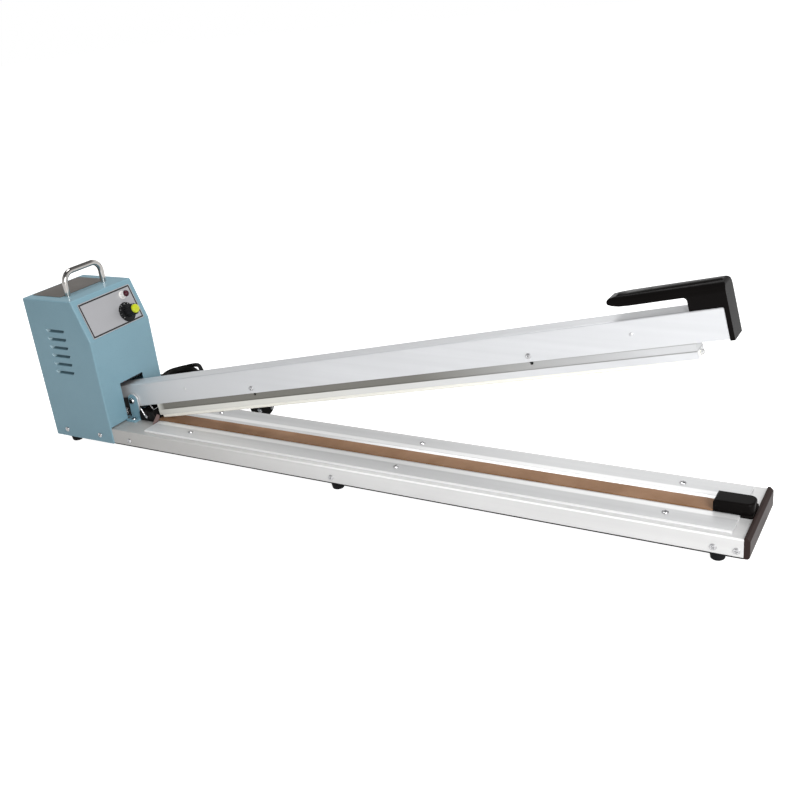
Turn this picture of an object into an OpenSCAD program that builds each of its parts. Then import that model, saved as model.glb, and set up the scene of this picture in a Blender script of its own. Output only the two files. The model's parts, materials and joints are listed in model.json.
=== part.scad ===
// Hand-operated impulse sealer for plastic film, with a long arm and a cover for its works.
// Millimetres, +Z up, X along the base. The origin is on the ground below the middle.

/* [Base] */
// Length of the base in front of the casing
base_l = 900; // [600:10:1200]
// Width of the aluminium base
base_w = 117; // [110:1:130]
// Height of the base over its bottom plate
base_h = 22.5; // [20:0.5:30]
// Wall of the base
base_wall = 2; // [1.5:0.1:3]
// Thickness of the bottom plate
bottom_t = 1; // [0.8:0.1:2]
// Thickness of the end cap
cap_t = 6.5; // [5:0.5:12]
// Radius of a rubber foot
foot_r = 9.5; // [8:0.5:12]
// Height of a rubber foot
foot_h = 12; // [8:0.5:18]

/* [Sealing bed] */
// Width of the bed strip under the ribbon
bed_w = 23; // [18:0.5:26]
// Thickness of the bed strip
bed_t = 2; // [1.5:0.1:2.5]
// Width of the heating ribbon
ribbon_w = 6; // [3:0.5:10]
// Thickness of the heating ribbon
ribbon_t = 0.2; // [0.1:0.05:0.3]
// Thickness of the cloth over the ribbon
cloth_t = 0.25; // [0.15:0.05:0.4]
// Outer edge of a clamp plate, from the middle
plate_edge = 51; // [46:0.5:53]
// Thickness of a clamp plate
plate_t = 3; // [2:0.5:4]
// Width of a clamp plate's bevel
plate_bevel = 5; // [3:0.5:8]
// Gap from the casing to the clamp plates
plate_start = 59; // [58:1:80]
// Gap from the end cap to the clamp plates
plate_end = 13.5; // [10:0.5:30]

/* [Casing] */
// Depth of the casing
case_d = 121; // [118:1:150]
// Height of the casing
case_h = 217.7; // [205:0.1:250]
// Height of the sloped panel's lower edge
panel_low = 158; // [150:1:170]
// How far the sloped panel leans back
panel_run = 22; // [15:1:30]
// Thickness of the casing's sheet
sheet_t = 1.2; // [0.8:0.1:1.5]
// Width of the slot for the arm
slot_w = 47; // [44:1:52]
// Height of the slot for the arm
slot_h = 58.5; // [57:0.5:62]
// Number of louvres on a side
louvre_n = 6; // [3:1:7]
// Length of a louvre
louvre_l = 38; // [25:1:50]
// Distance between louvres
louvre_pitch = 12.9; // [11:0.1:14]
// How deep a louvre is pressed in
louvre_in = 5; // [4:0.5:6]

/* [Hinge] */
// Distance from the casing to the hinge pin
pivot_out = 9; // [8:0.5:12]
// Height of the hinge pin above the base
pivot_up = 28.5; // [27.5:0.5:30]
// Radius of the hinge pin
pin_r = 3.5; // [2.5:0.1:4.5]
// Thickness of a hinge bracket
ear_t = 2.2; // [1.5:0.1:3]
// Angle of the open arm
open_angle = 11.9; // [8:0.1:14]

/* [Arm] */
// Width of the arm
arm_w = 28; // [26:0.5:30]
// Height of the arm
arm_h = 34; // [32:0.5:36]
// Depth of the arm below the hinge pin
arm_low = 10; // [9:0.5:11]
// Wall of the arm
arm_wall = 1.8; // [1.2:0.1:2]
// Gap from the arm's end to the base's end, arm closed
arm_short = 12; // [5:1:40]
// Length of the arm behind the hinge pin
tail_l = 54; // [50:1:56]

/* [Press bar] */
// Start of the press bar, from the hinge pin
bar_start = 43; // [43:1:70]
// Gap from the press bar's end to the arm's end
bar_short = 36; // [32:1:60]
// Width of the bar's runner in the arm
runner_w = 22; // [18:0.5:22.4]
// Depth of the runner below the arm
runner_drop = 10; // [9.5:0.1:11]
// Height of the strip holder
holder_h = 8; // [7:0.5:9]
// Width of the strip holder
holder_w = 24; // [20:0.5:26]
// Height of the silicone strip below its holder
strip_h = 7; // [5:0.5:8]
// Width of the silicone strip
strip_w = 14; // [12:0.5:16]

/* [Arm handle] */
// Length of the grip, from its block
grip_l = 84.5; // [60:0.5:120]
// Length of the handle's block on the arm
block_l = 34.5; // [25:0.5:50]
// Width of the handle
handle_w = 29; // [28:0.5:36]
// Gap under the grip
grip_gap = 15; // [12:0.5:25]
// Thickness of the grip at its block
grip_h = 12; // [11:0.5:16]
// Thickness of the handle's end wall
end_wall = 5; // [3:0.5:8]

/* [Controls] */
// Width of the control plate
label_w = 102.4; // [90:0.1:104]
// Height of the control plate
label_h = 53.6; // [50:0.1:56]
// Sideways place of the timer knob
knob_y = 25.7; // [15:0.1:32]
// Height of the timer knob on the panel
knob_up = 19.2; // [17:0.1:26]
// Radius of the knob's skirt
skirt_r = 13.8; // [10:0.1:14]
// Height of the timer knob
knob_h = 19; // [12:0.5:22]
// Sideways place of the lamp
lamp_y = 30.7; // [20:0.1:40]
// Height of the lamp on the panel
lamp_up = 44.5; // [42:0.5:50]
// Radius of the lamp's body
lamp_r = 4.8; // [4:0.1:5.2]
// How far the lamp's body stands out
lamp_out = 10; // [5:0.5:12]

/* [Carrying handle] */
// Distance between the legs of the carrying handle
carry_w = 70; // [60:1:90]
// Height of the carrying handle
carry_h = 33; // [28:1:45]
// Radius of the carrying handle's rod
carry_r = 4.2; // [3:0.1:5]
// Distance from the panel's top edge to the carrying handle
carry_back = 30; // [20:1:40]

/* [Cord] */
// Diameter of the power cord
cord_d = 7; // [6:0.1:8]

/* [Hidden] */
$fn = 48;

// Clearances
run_gap = 0.05;
side_gap = 0.3;
touch_gap = 0.15;
hole_gap = 0.05;
cut = 1;

// Main places
total_l = case_d + base_l + cap_t;
front_x = case_d - total_l / 2;
rear_x = front_x - case_d;
base_end = front_x + base_l;
low_z = foot_h + bottom_t;
deck_z = low_z + base_h;
case_w = base_w + 2 * (sheet_t + side_gap);
pivot_x = front_x + pivot_out;
pivot_z = deck_z + pivot_up;
tilt = atan2(panel_run, case_h - panel_low);

// Sealing bed
cloth_w = bed_w + 2 * cloth_t + 0.1;
terminal_x = front_x + 21.3;
terminal_l = 29;
terminal_h = 16;
terminal_w = 38;
lever_x = 15;
lever_z = 8;
lever_r = 1.45;
lever_out = 1.2;
bed_start = terminal_x + terminal_l + side_gap;
bed_lap = 6;
cloth_top = bed_t + ribbon_t + cloth_t;
cover_l = 43;
cover_x = base_end - cover_l;
cover_h = 14.5;
cover_w = 24;
cover_foot_w = 32;
cover_foot_h = 3;
plate_toe = cloth_w / 2 + side_gap;
plate_x0 = front_x + plate_start;
plate_x1 = base_end - plate_end;
cover_step = plate_x1 - cover_x + side_gap;
screw_in = 16;
screw_y = plate_edge - screw_in;
screw_x = [for (share = [0.09, 0.5, 0.91]) plate_x0 + share * (plate_x1 - plate_x0)];

// Arm and press bar, from the hinge pin
arm_top = arm_h - arm_low;
arm_end = base_l - pivot_out - arm_short;
bar_end = arm_end - bar_short;
holder_top = -arm_low - runner_drop;
holder_low = holder_top - holder_h;
strip_low = holder_low - strip_h;
closed_low = pivot_up - cloth_top - touch_gap;
press_travel = -strip_low - closed_low;
runner_wall = 1.6;
runner_end = 3;
runner_top = 4;
guide_r = 2;
guide_v = -3;
guide_u = [for (share = [0.2417, 0.767]) bar_start + share * (bar_end - bar_start)];
rivet_u = [0.088, 0.9207];
press_u = [for (share = [0.12, 0.5, 0.88]) bar_start + share * (bar_end - bar_start)];
press_r = 5.5;

// Hinge brackets
ear_gap = 0.6;
ear_in = arm_w / 2 + ear_gap;
ear_out = ear_in + ear_t;
ear_back = 17;
ear_front = 12;
ear_r = 12;
flange_l = 15;
flange_x = 12;
flange_screw_out = 6;
pin_head_r = pin_r + 1.8;
pin_head_h = 2;

// Return spring and stop
spring_u = -34;
spring_r = 6;
spring_wire = 1.5;
spring_pin_r = 2;
anchor_x = pivot_x + spring_u * cos(open_angle);
anchor_z = low_z + 7;
well_l = 18;
well_w = 20;
buffer_l = 6;

// Microswitch
switch_x = pivot_x - 26;
plunger_travel = 2;
tip_z = pivot_z + arm_top + touch_gap - plunger_travel;
tip_r = 1.6;
tip_l = 5;
switch_l = 28;
switch_h = 16;
switch_w = 10;

// Ribs and lips of the base
base_lip = 10;
rib_y = 23;
rib_t = 2;

// Feet and screws
foot_end = 29;
foot_x = [rear_x + 26, front_x + base_l * 0.43, base_end - foot_end];
foot_in = 13.5;
foot_y = base_w / 2 - foot_in;
foot_hole_r = 2;
foot_well_r = 4;
head_r = 3.8;
head_h = 1.8;
shank_r = 1.9;
case_screw_x = [rear_x + 26.5, front_x - 25.3];
case_screw_up = 11;
base_screw_x = [front_x + 32, foot_x[1], base_end - foot_end - 2, base_end - 7];
base_screw_up = 8.5;

// Transformer
core_w = 66;
core_h = 55;
core_t = 36;
core_leg = 11;
coil_out = 9;
core_x = rear_x + sheet_t + 35;
strap_t = 1.2;
strap_w = 18;
strap_foot = 9;

// Plate on the casing's top
top_t = 0.6;
top_side = 15;
top_back = 5;
top_gap = 0.5;
top_l = case_d - panel_run - carry_back - carry_r - top_gap - top_back;

// Panel parts
label_t = 0.8;
label_up = 29.3;
pot_r = 8;
pot_l = 12;
shaft_r = 3;
nut_r = 5;
board_t = 1.6;
board_w = 54;
board_h = 34;
skirt_t = 2;
knob_r = 8.5;
cap_r = 6.3;
lens_r = lamp_r - 1.2;

// Cord, its places taken from the casing's rear wall
cord_r = cord_d / 2;
gland_y = 45;
gland_z = foot_h + 45;
gland_r = 9;
relief_l = 30;
tie_t = 0.8;
hank_run = 70;
hank_mid = 28;
hank_x = 52.5;
hank_y = 176;
hank_turn = -40;
hank_h = 2 * cord_d;
hank_out = hank_mid + cord_d;
hank_in = hank_mid - cord_d;
plug_x = 229.5;
plug_y = 137.5;
plug_turn = -34;
plug_r = 18.5;
plug_l = 42;
exit_x = -3 - relief_l;
cord_route = [[exit_x, 45, 57], [-41.5, 45, 55.5], [-52.5, 46, 51], [-61.5, 49, 43],
    [-67.5, 54, 33], [-73.5, 61, 23], [-79.5, 71, 14], [-84.5, 83, 8], [-88.5, 97, 5],
    [-88.4, 108.4, 3.6], [-85.6, 119.3, 3.6], [-80.4, 129.9, 3.6], [-73.2, 140.2, 3.6],
    [-64.5, 150.5, 3.6], [-54.5, 160.7, 3.6], [-43.6, 171.2, 3.6], [-32.1, 182, 3.7],
    [-20.6, 193.2, 3.9], [-9.2, 205, 4.2], [1.6, 217.6, 4.4]];
tail_route = [[99.9, 177.1, 11.3], [108.2, 171.1, 10.8], [117, 166.7, 9], [126.3, 163.4, 6.6],
    [136, 161, 4.6], [146, 159.2, 3.7], [156.3, 157.9, 3.6], [166.8, 156.6, 3.8],
    [177.4, 155.3, 4.8], [188, 153.5, 7], [198.6, 151.2, 10.2], [209.1, 147.9, 14],
    [219.4, 143.4, 17.2], [plug_x, plug_y, plug_r]];

// Places the children on the sloped panel: X out of it, Z up along it
module on_panel(y = 0, up = 0)
    translate([front_x, 0, foot_h + panel_low]) rotate([0, -tilt, 0]) translate([0, y, up]) children();

// Places the children on the arm: X along it, from the hinge pin
module on_arm() translate([pivot_x, 0, pivot_z]) rotate([0, -open_angle, 0]) children();

// Extrudes a Y-Z outline along X
module along_x(l) rotate([90, 0, 90]) linear_extrude(l) children();

// Extrudes an X-Z outline along Y, centred
module along_y(w) rotate([90, 0, 0]) linear_extrude(w, center = true) children();

// A rod along X or Y
module rod_x(r, l) rotate([0, 90, 0]) cylinder(r = r, h = l);
module rod_y(r, l) rotate([90, 0, 0]) cylinder(r = r, h = l, center = true);

// A rectangle with round corners, centred on X and standing on Y = 0
module round_rect(w, h, r) {
    translate([-w / 2 + r, 0]) square([w - 2 * r, h]);
    translate([-w / 2, r]) square([w, h - 2 * r]);
    for (x = [-w / 2 + r, w / 2 - r], y = [r, h - r]) translate([x, y]) circle(r);
}

// A round slot along Y of the outline, from low to high
module slot_outline(r, low, high) {
    translate([-r, low]) square([2 * r, high - low]);
    for (y = [low, high]) translate([0, y]) circle(r);
}

// A screw with a bevelled pan head up and its shank down
module pan_screw(l) {
    cylinder(r1 = head_r, r2 = head_r * 0.7, h = head_h);
    translate([0, 0, -l]) cylinder(r = shank_r, h = l);
}

// Unit vectors along a path, and normals carried along it without twisting
function unit(v) = v / norm(v);
function ahead(p, i) = unit(p[min(i + 1, len(p) - 1)] - p[max(i - 1, 0)]);
function carried(n, t) = unit(n - (n * t) * t);
function normals(p) = [for (i = 0, n = carried([0.3, 1, 0.2], ahead(p, 0)); i < len(p);
    i = i + 1, n = i < len(p) ? carried(n, ahead(p, i)) : n) n];

// A round wire or cord swept along a path
module swept(p, r, sides) {
    n = normals(p);
    rings = [for (i = [0 : len(p) - 1], k = [0 : sides - 1])
        let (t = ahead(p, i), a = 360 * k / sides) p[i] + r * (cos(a) * n[i] + sin(a) * cross(t, n[i]))];
    walls = [for (i = [0 : len(p) - 2], k = [0 : sides - 1])
        let (a = i * sides + k, b = i * sides + (k + 1) % sides) [a, a + sides, b + sides, b]];
    first = [for (k = [0 : sides - 1]) k];
    last = [for (k = [sides - 1 : -1 : 0]) (len(p) - 1) * sides + k];
    polyhedron(rings, concat(walls, [first, last]), convexity = 10);
}

// Points of a helix about Z
function helix(r, z0, z1, turns, steps) =
    [for (i = [0 : turns * steps]) [r * cos(360 * i / steps), r * sin(360 * i / steps),
        z0 + (z1 - z0) * i / (turns * steps)]];

// Outer and inner outlines of the casing, seen from the side
function case_outer() = [[-case_d, 0], [0, 0], [0, panel_low], [-panel_run, case_h], [-case_d, case_h]];
function case_inner() = [[-case_d + sheet_t, -cut], [-sheet_t, -cut],
    [-sheet_t, panel_low - sheet_t * (1 - cos(tilt)) / sin(tilt)],
    [(-sheet_t - (case_h - sheet_t - panel_low) * sin(tilt)) / cos(tilt), case_h - sheet_t],
    [-case_d + sheet_t, case_h - sheet_t]];

// The lower half of a round-ended bar, on the wall's inner side
module louvre_form(r, outside) intersection() {
    union() {
        translate([-louvre_l / 2 + louvre_in, 0, 0]) rod_x(r, louvre_l - 2 * louvre_in);
        for (x = [-1, 1]) translate([x * (louvre_l / 2 - louvre_in), 0, 0]) sphere(r);
    }
    translate([-louvre_l, -outside, -2 * louvre_in]) cube([2 * louvre_l, 3 * louvre_in, 2 * louvre_in]);
}

// Repeats the children at every louvre, on both sides
module at_louvres()
    for (side = [0, 1], i = [0 : louvre_n - 1])
        mirror([0, side, 0])
            translate([-case_d * 0.56, -case_w / 2, panel_low - 49.5 + i * louvre_pitch]) children();

// Repeats the children at every side screw of the casing
module at_casing_screws()
    for (side = [0, 1], x = case_screw_x)
        mirror([0, side, 0]) translate([x, -case_w / 2, foot_h + case_screw_up])
            rotate([90, 0, 0]) children();

// Repeats the children at every side screw of the base
module at_base_screws()
    for (side = [0, 1], x = base_screw_x)
        mirror([0, side, 0]) translate([x, -base_w / 2, foot_h + base_screw_up])
            rotate([90, 0, 0]) children();

// Repeats the children at both legs of the carrying handle, on the casing's top
module at_carry_legs()
    for (y = [-carry_w / 2, carry_w / 2])
        translate([front_x - panel_run - carry_back, y, foot_h + case_h]) children();

module casing_cover() color([0.46, 0.62, 0.68]) difference() {
    translate([front_x, 0, foot_h]) difference() {
        union() {
            difference() {
                along_y(case_w) polygon(case_outer());
                along_y(case_w - 2 * sheet_t) polygon(case_inner());
            }
            at_louvres() louvre_form(louvre_in, 0);
        }
        at_louvres() louvre_form(louvre_in - sheet_t, cut);
        // Mouth for the base, and the slot for the arm
        translate([-sheet_t - cut, -base_w / 2 - side_gap, -cut])
            cube([sheet_t + 2 * cut, base_w + 2 * side_gap, base_h + bottom_t + cut]);
        translate([-sheet_t - cut, -slot_w / 2, 0])
            cube([sheet_t + 2 * cut, slot_w, base_h + bottom_t + slot_h]);
    }
    at_casing_screws() translate([0, 0, -5]) cylinder(r = shank_r + hole_gap, h = 10);
    at_carry_legs() translate([0, 0, -5]) cylinder(r = carry_r + hole_gap, h = 10);
    on_panel(knob_y, knob_up) translate([-5, 0, 0]) rod_x(nut_r + hole_gap, 10);
    on_panel(lamp_y, lamp_up) translate([-5, 0, 0]) rod_x(lamp_r + hole_gap, 10);
    translate([rear_x - cut, gland_y, gland_z]) rod_x(gland_r - 2 + hole_gap, 10);
}

module casing_screws() color("silver") at_casing_screws() pan_screw(sheet_t + side_gap + base_wall);

module top_plate() color([0.55, 0.5, 0.47])
    translate([rear_x + top_back, 0, foot_h + case_h])
        linear_extrude(top_t) rotate(-90) round_rect(case_w - 2 * top_side, top_l, 3);

module control_plate() color([0.72, 0.72, 0.74]) difference() {
    on_panel(0, label_up - label_h / 2) along_x(label_t) round_rect(label_w, label_h, 2);
    on_panel(knob_y, knob_up) translate([-cut, 0, 0]) rod_x(nut_r + hole_gap, 3 * cut);
    on_panel(lamp_y, lamp_up) translate([-cut, 0, 0]) rod_x(lamp_r + hole_gap, 3 * cut);
}

// The knob: a skirt, a grooved body and a blind hole for the shaft
module timer_knob() color([0.1, 0.1, 0.11])
    on_panel(knob_y, knob_up) translate([label_t + side_gap, 0, 0]) rotate([0, 90, 0]) difference() {
        union() {
            cylinder(r = skirt_r, h = skirt_t);
            cylinder(r = knob_r, h = knob_h);
        }
        for (a = [0 : 30 : 330]) rotate(a) translate([knob_r + 0.4, 0, skirt_t])
            cylinder(r = 1, h = knob_h);
        translate([0, 0, -cut]) cylinder(r = nut_r + 1, h = cut + 2.4);
        translate([0, 0, -cut]) cylinder(r = shaft_r + run_gap, h = cut + knob_h - 3);
        translate([0, 0, knob_h - 1.5]) cylinder(r = cap_r, h = 2);
    }

module knob_cap() color([0.72, 0.8, 0.12])
    on_panel(knob_y, knob_up) translate([label_t + side_gap + knob_h - 1.5, 0, 0]) rotate([0, 90, 0]) {
        cylinder(r = cap_r, h = 2.2);
        translate([0, 0, 2.2]) cylinder(r1 = cap_r, r2 = cap_r - 1, h = 0.8);
    }

module lamp_body() color([0.92, 0.92, 0.9]) on_panel(lamp_y, lamp_up) difference() {
    union() {
        translate([-16, 0, 0]) rod_x(lamp_r, 16 + lamp_out);
        translate([label_t, 0, 0]) rod_x(lamp_r + 1.2, 1.5);
        translate([-sheet_t - 3, 0, 0]) rod_x(lamp_r + 2.4, 3);
    }
    translate([lamp_out - 2, 0, 0]) rod_x(lens_r + hole_gap, 3);
}

module lamp_lens() color([0.45, 0.05, 0.1]) on_panel(lamp_y, lamp_up) {
    translate([lamp_out - 2, 0, 0]) rod_x(lens_r, 2 + cut);
    intersection() {
        translate([lamp_out, 0, 0]) sphere(lamp_r);
        translate([lamp_out, -lamp_r, -lamp_r]) cube(2 * lamp_r);
    }
}

// The chrome rod: two legs and two bends joined by a straight bar
module carrying_handle() color([0.85, 0.85, 0.87]) {
    bend_r = 16;
    below = 8;
    at_carry_legs() translate([0, 0, -below]) cylinder(r = carry_r, h = carry_h - bend_r + below);
    translate([front_x - panel_run - carry_back, 0, foot_h + case_h + carry_h]) {
        rod_y(carry_r, carry_w - 2 * bend_r);
        for (side = [0, 1]) mirror([0, side, 0]) translate([0, carry_w / 2 - bend_r, -bend_r])
            rotate([90, 0, 90]) rotate_extrude(angle = 90) translate([bend_r, 0]) circle(carry_r);
    }
}

module handle_nuts() color("silver") at_carry_legs() translate([0, 0, -sheet_t - 4]) difference() {
    cylinder(r = 7.5, h = 4, $fn = 6);
    translate([0, 0, -cut]) cylinder(r = carry_r + run_gap, h = 4 + 2 * cut);
}

// The base: an aluminium channel with lips for its bottom plate and hanging ribs
module base_profile() color([0.8, 0.81, 0.82]) difference() {
    translate([rear_x + sheet_t + side_gap, 0, low_z]) along_x(base_end - rear_x - sheet_t - side_gap)
        difference() {
            round_rect(base_w, base_h, 1.2);
            translate([-base_w / 2 + base_wall, base_wall])
                square([base_w / 2 - base_wall - rib_y - rib_t, base_h - 2 * base_wall]);
            translate([rib_y + rib_t, base_wall])
                square([base_w / 2 - base_wall - rib_y - rib_t, base_h - 2 * base_wall]);
            translate([-rib_y, base_wall]) square([2 * rib_y, base_h - 2 * base_wall]);
            translate([-base_w / 2 + base_lip, -cut])
                square([base_w - 2 * base_lip, base_wall + 2 * cut]);
        }
    translate([anchor_x - well_l / 2, -well_w / 2, deck_z - base_wall - cut])
        cube([well_l, well_w, 2 * base_wall]);
    at_casing_screws() translate([0, 0, -9]) cylinder(r = shank_r + hole_gap, h = 10);
    at_base_screws() translate([0, 0, -6]) cylinder(r = shank_r + hole_gap, h = 8);
    for (x = screw_x, y = [-screw_y, screw_y])
        translate([x, y, deck_z - 6]) cylinder(r = shank_r + hole_gap, h = 8);
    at_bracket_screws() translate([0, 0, -8]) cylinder(r = shank_r + hole_gap, h = 10);
}

module bottom_plate() color([0.12, 0.12, 0.13]) difference() {
    translate([rear_x + sheet_t + side_gap, -base_w / 2 + 1, foot_h])
        cube([base_end - rear_x - sheet_t - side_gap, base_w - 2, bottom_t]);
    for (x = foot_x, y = [-foot_y, foot_y])
        translate([x, y, foot_h - cut]) cylinder(r = foot_hole_r + hole_gap, h = bottom_t + 2 * cut);
}

// The end cap: a moulded plate with a round lower corner, a bevelled face and a plug in the base
module base_end_cap() color([0.13, 0.11, 0.1]) translate([base_end, 0, foot_h]) {
    corner = cap_t * 0.6;
    cap_h = base_h + bottom_t + 2;
    intersection() {
        along_x(cap_t) round_rect(base_w, cap_h, 3);
        along_y(base_w) union() {
            square([cap_t - corner, cap_h]);
            translate([0, corner]) square([cap_t, cap_h - 2 * corner]);
            translate([cap_t - corner, corner]) circle(corner);
            polygon([[0, cap_h], [cap_t - corner, cap_h], [cap_t, cap_h - corner],
                [0, cap_h - corner - cut]]);
        }
    }
    tongue_l = 5;
    tongue_y = rib_y + rib_t + cord_d;
    tongue_w = base_w / 2 - base_wall - tongue_y - foot_in / 2 + cut;
    for (side = [0, 1]) mirror([0, side, 0]) translate([-tongue_l, tongue_y, bottom_t + base_wall + side_gap])
        cube([tongue_l + cut, tongue_w, base_h - 2 * base_wall - 2 * side_gap]);
}

module base_screws() color("silver") at_base_screws() pan_screw(base_wall + 1);

module rubber_feet() color([0.09, 0.09, 0.1]) for (x = foot_x, y = [-foot_y, foot_y])
    translate([x, y, 0]) difference() {
        rotate_extrude() polygon([[0, 0], [foot_r - 2.6, 0], [foot_r - 1.8, 0.8], [foot_r, foot_h],
            [0, foot_h]]);
        translate([0, 0, -cut]) cylinder(r = foot_well_r, h = foot_h * 0.5 + cut);
        cylinder(r = foot_hole_r + hole_gap, h = foot_h + cut);
    }

module foot_screws() color("silver") for (x = foot_x, y = [-foot_y, foot_y])
    translate([x, y, foot_h * 0.5]) {
        translate([0, 0, -2]) cylinder(r = foot_well_r - 0.5, h = 2);
        cylinder(r = foot_hole_r, h = foot_h * 0.5 + bottom_t + 2);
    }

// A clamp plate with its bevelled edge towards the cloth
module clamp_plate() difference() {
    translate([plate_x0, 0, deck_z]) along_x(plate_x1 - plate_x0)
        polygon([[plate_toe, 0], [plate_toe, 0.8], [plate_toe + plate_bevel, plate_t],
            [plate_edge - 0.8, plate_t], [plate_edge, plate_t - 0.8], [plate_edge, 0]]);
    for (x = screw_x) translate([x, screw_y, deck_z - cut])
        cylinder(r = shank_r + hole_gap, h = plate_t + 2 * cut);
}

module near_clamp_plate() color([0.83, 0.84, 0.85]) mirror([0, 1, 0]) clamp_plate();

module far_clamp_plate() color([0.83, 0.84, 0.85]) clamp_plate();

module clamp_screws() color("silver") for (x = screw_x, y = [-screw_y, screw_y])
    translate([x, y, deck_z + plate_t]) pan_screw(plate_t + 4);

module bed_strip() color([0.85, 0.8, 0.68])
    translate([bed_start, -bed_w / 2, deck_z]) cube([cover_x + bed_lap - bed_start, bed_w, bed_t]);

module heating_ribbon() color([0.6, 0.6, 0.58])
    translate([terminal_x + 12, -ribbon_w / 2, deck_z + bed_t])
        cube([cover_x + 19 - terminal_x - 12, ribbon_w, ribbon_t]);

module cloth_cover() color([0.58, 0.42, 0.31])
    translate([bed_start, 0, deck_z]) along_x(cover_x + bed_lap - 2 - bed_start) difference() {
        translate([-cloth_w / 2, 0]) square([cloth_w, cloth_top]);
        translate([-bed_w / 2, -cut]) square([bed_w, cloth_top - cloth_t + cut]);
    }

// The brass block that holds the ribbon's far end
module end_terminal() color([0.75, 0.6, 0.3]) translate([cover_x + 10, 0, deck_z]) {
    difference() {
        translate([0, -6, 0]) cube([16, 12, 6]);
        translate([-cut, -ribbon_w / 2 - side_gap, bed_t]) cube([9 + cut, ribbon_w + 2 * side_gap, ribbon_t]);
    }
    translate([8, 0, 6]) cylinder(r = 3, h = 2.5);
}

// The moulded cover: rounded in plan, hollow, and lower where it passes the clamp plates' ends
module end_cover() color([0.1, 0.1, 0.11]) translate([cover_x, 0, deck_z]) {
    plan_r = 8;
    edge_r = 3;
    wall = 2.5;
    half = cover_w / 2;
    translate([cover_step, -cover_foot_w / 2, 0]) difference() {
        cube([cover_l - cover_step - side_gap, cover_foot_w, cover_foot_h]);
        translate([-cut, wall + cover_foot_w / 2 - half, -cut])
            cube([cover_l - cover_step - plan_r + wall, cover_w - 2 * wall, 2 * cover_foot_h]);
    }
    difference() {
        intersection() {
            linear_extrude(cover_h) union() {
                translate([0, -half]) square([cover_l - plan_r, cover_w]);
                translate([0, plan_r - half]) square([cover_l - side_gap, cover_w - 2 * plan_r]);
                for (y = [plan_r - half, half - plan_r])
                    translate([cover_l - plan_r - side_gap, y]) circle(plan_r);
            }
            along_x(cover_l) union() {
                translate([-half, 0]) square([cover_w, cover_h - edge_r]);
                translate([edge_r - half, 0]) square([cover_w - 2 * edge_r, cover_h]);
                for (y = [edge_r - half, half - edge_r]) translate([y, cover_h - edge_r]) circle(edge_r);
            }
        }
        translate([wall, wall - half, -cut])
            cube([cover_l - plan_r, cover_w - 2 * wall, cover_h - wall + cut]);
        translate([-cut, -cloth_w / 2 - side_gap, -cut])
            cube([bed_lap + side_gap + cut, cloth_w + 2 * side_gap, cloth_top + side_gap + cut]);
        for (side = [0, 1]) mirror([0, side, 0]) translate([-cut, half - wall + side_gap, -cut])
            cube([cover_step + cut, half, plate_t + touch_gap + cut]);
    }
}

// The black block at the ribbon's hinge end, with a slot for the tensioning lever
module hinge_terminal() color([0.11, 0.1, 0.1]) translate([terminal_x, 0, deck_z]) difference() {
    along_y(terminal_w) polygon([[0, 0], [terminal_l, 0], [terminal_l, terminal_h - 5],
        [terminal_l - 4, terminal_h], [3, terminal_h], [0, terminal_h - 3]]);
    translate([lever_z, -ribbon_w / 2 - 2, bed_t]) cube([terminal_l, ribbon_w + 4, terminal_h]);
    translate([lever_x, 0, lever_z]) rod_y(lever_r + run_gap, terminal_w + cut);
}

module terminal_clips() color("silver") translate([terminal_x, 0, deck_z]) {
    wire_r = 0.9;
    slope = 153;
    translate([lever_x, 0, lever_z]) rod_y(lever_r, terminal_w + 4 * lever_out + cut);
    for (side = [-1, 1]) translate([lever_x, side * (terminal_w / 2 + lever_out), lever_z]) {
        translate([-8, 0, 11.6]) rotate([0, slope, 0]) rod_line(wire_r, 14.3);
        rod_y(lever_r + lever_out, 1.4);
    }
}

// A thin round bar from the origin along Z turned down, with ball ends
module rod_line(r, l) {
    cylinder(r = r, h = l, $fn = 16);
    for (z = [0, l]) translate([0, 0, z]) sphere(r, $fn = 16);
}

// A hinge bracket: an ear with a round top, a foot flange and the pin's hole
module hinge_bracket() {
    difference() {
        union() {
            translate([pivot_x, (ear_in + ear_out) / 2, pivot_z]) rod_y(ear_r, ear_t);
            translate([pivot_x - ear_r, ear_in, deck_z]) cube([2 * ear_r, ear_t, pivot_up]);
            translate([pivot_x - ear_back, ear_in, deck_z]) cube([ear_back + ear_front, ear_t, 9]);
            translate([front_x + 1, ear_in, deck_z]) cube([pivot_out + ear_front - 1, flange_l, ear_t]);
        }
        translate([pivot_x, ear_in, pivot_z]) rod_y(pin_r + hole_gap, 6 * ear_t);
        translate([front_x + flange_x, ear_out + flange_screw_out, deck_z - cut])
            cylinder(r = shank_r + hole_gap, h = 2 * ear_t);
    }
}

module near_hinge_bracket() color([0.46, 0.62, 0.68]) mirror([0, 1, 0]) hinge_bracket();

module far_hinge_bracket() color([0.46, 0.62, 0.68]) hinge_bracket();

// Repeats the children at both flange screws
module at_bracket_screws() for (y = [-ear_out - flange_screw_out, ear_out + flange_screw_out])
    translate([front_x + flange_x, y, deck_z + ear_t]) children();

module bracket_screws() color("silver") at_bracket_screws() pan_screw(ear_t + base_wall + 1);

module hinge_pin() color([0.75, 0.76, 0.78]) translate([pivot_x, 0, pivot_z]) {
    rod_y(pin_r, 2 * ear_out + 1);
    for (side = [-1, 1]) translate([0, side * (ear_out + pin_head_h / 2), 0]) rod_y(pin_head_r, pin_head_h);
}

module hinge_washers() color([0.9, 0.9, 0.86]) for (side = [-1, 1])
    translate([pivot_x, side * (arm_w / 2 + ear_gap / 2), pivot_z]) difference() {
        rod_y(pin_r + 3, ear_gap);
        rod_y(pin_r + run_gap, 3);
    }

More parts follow.
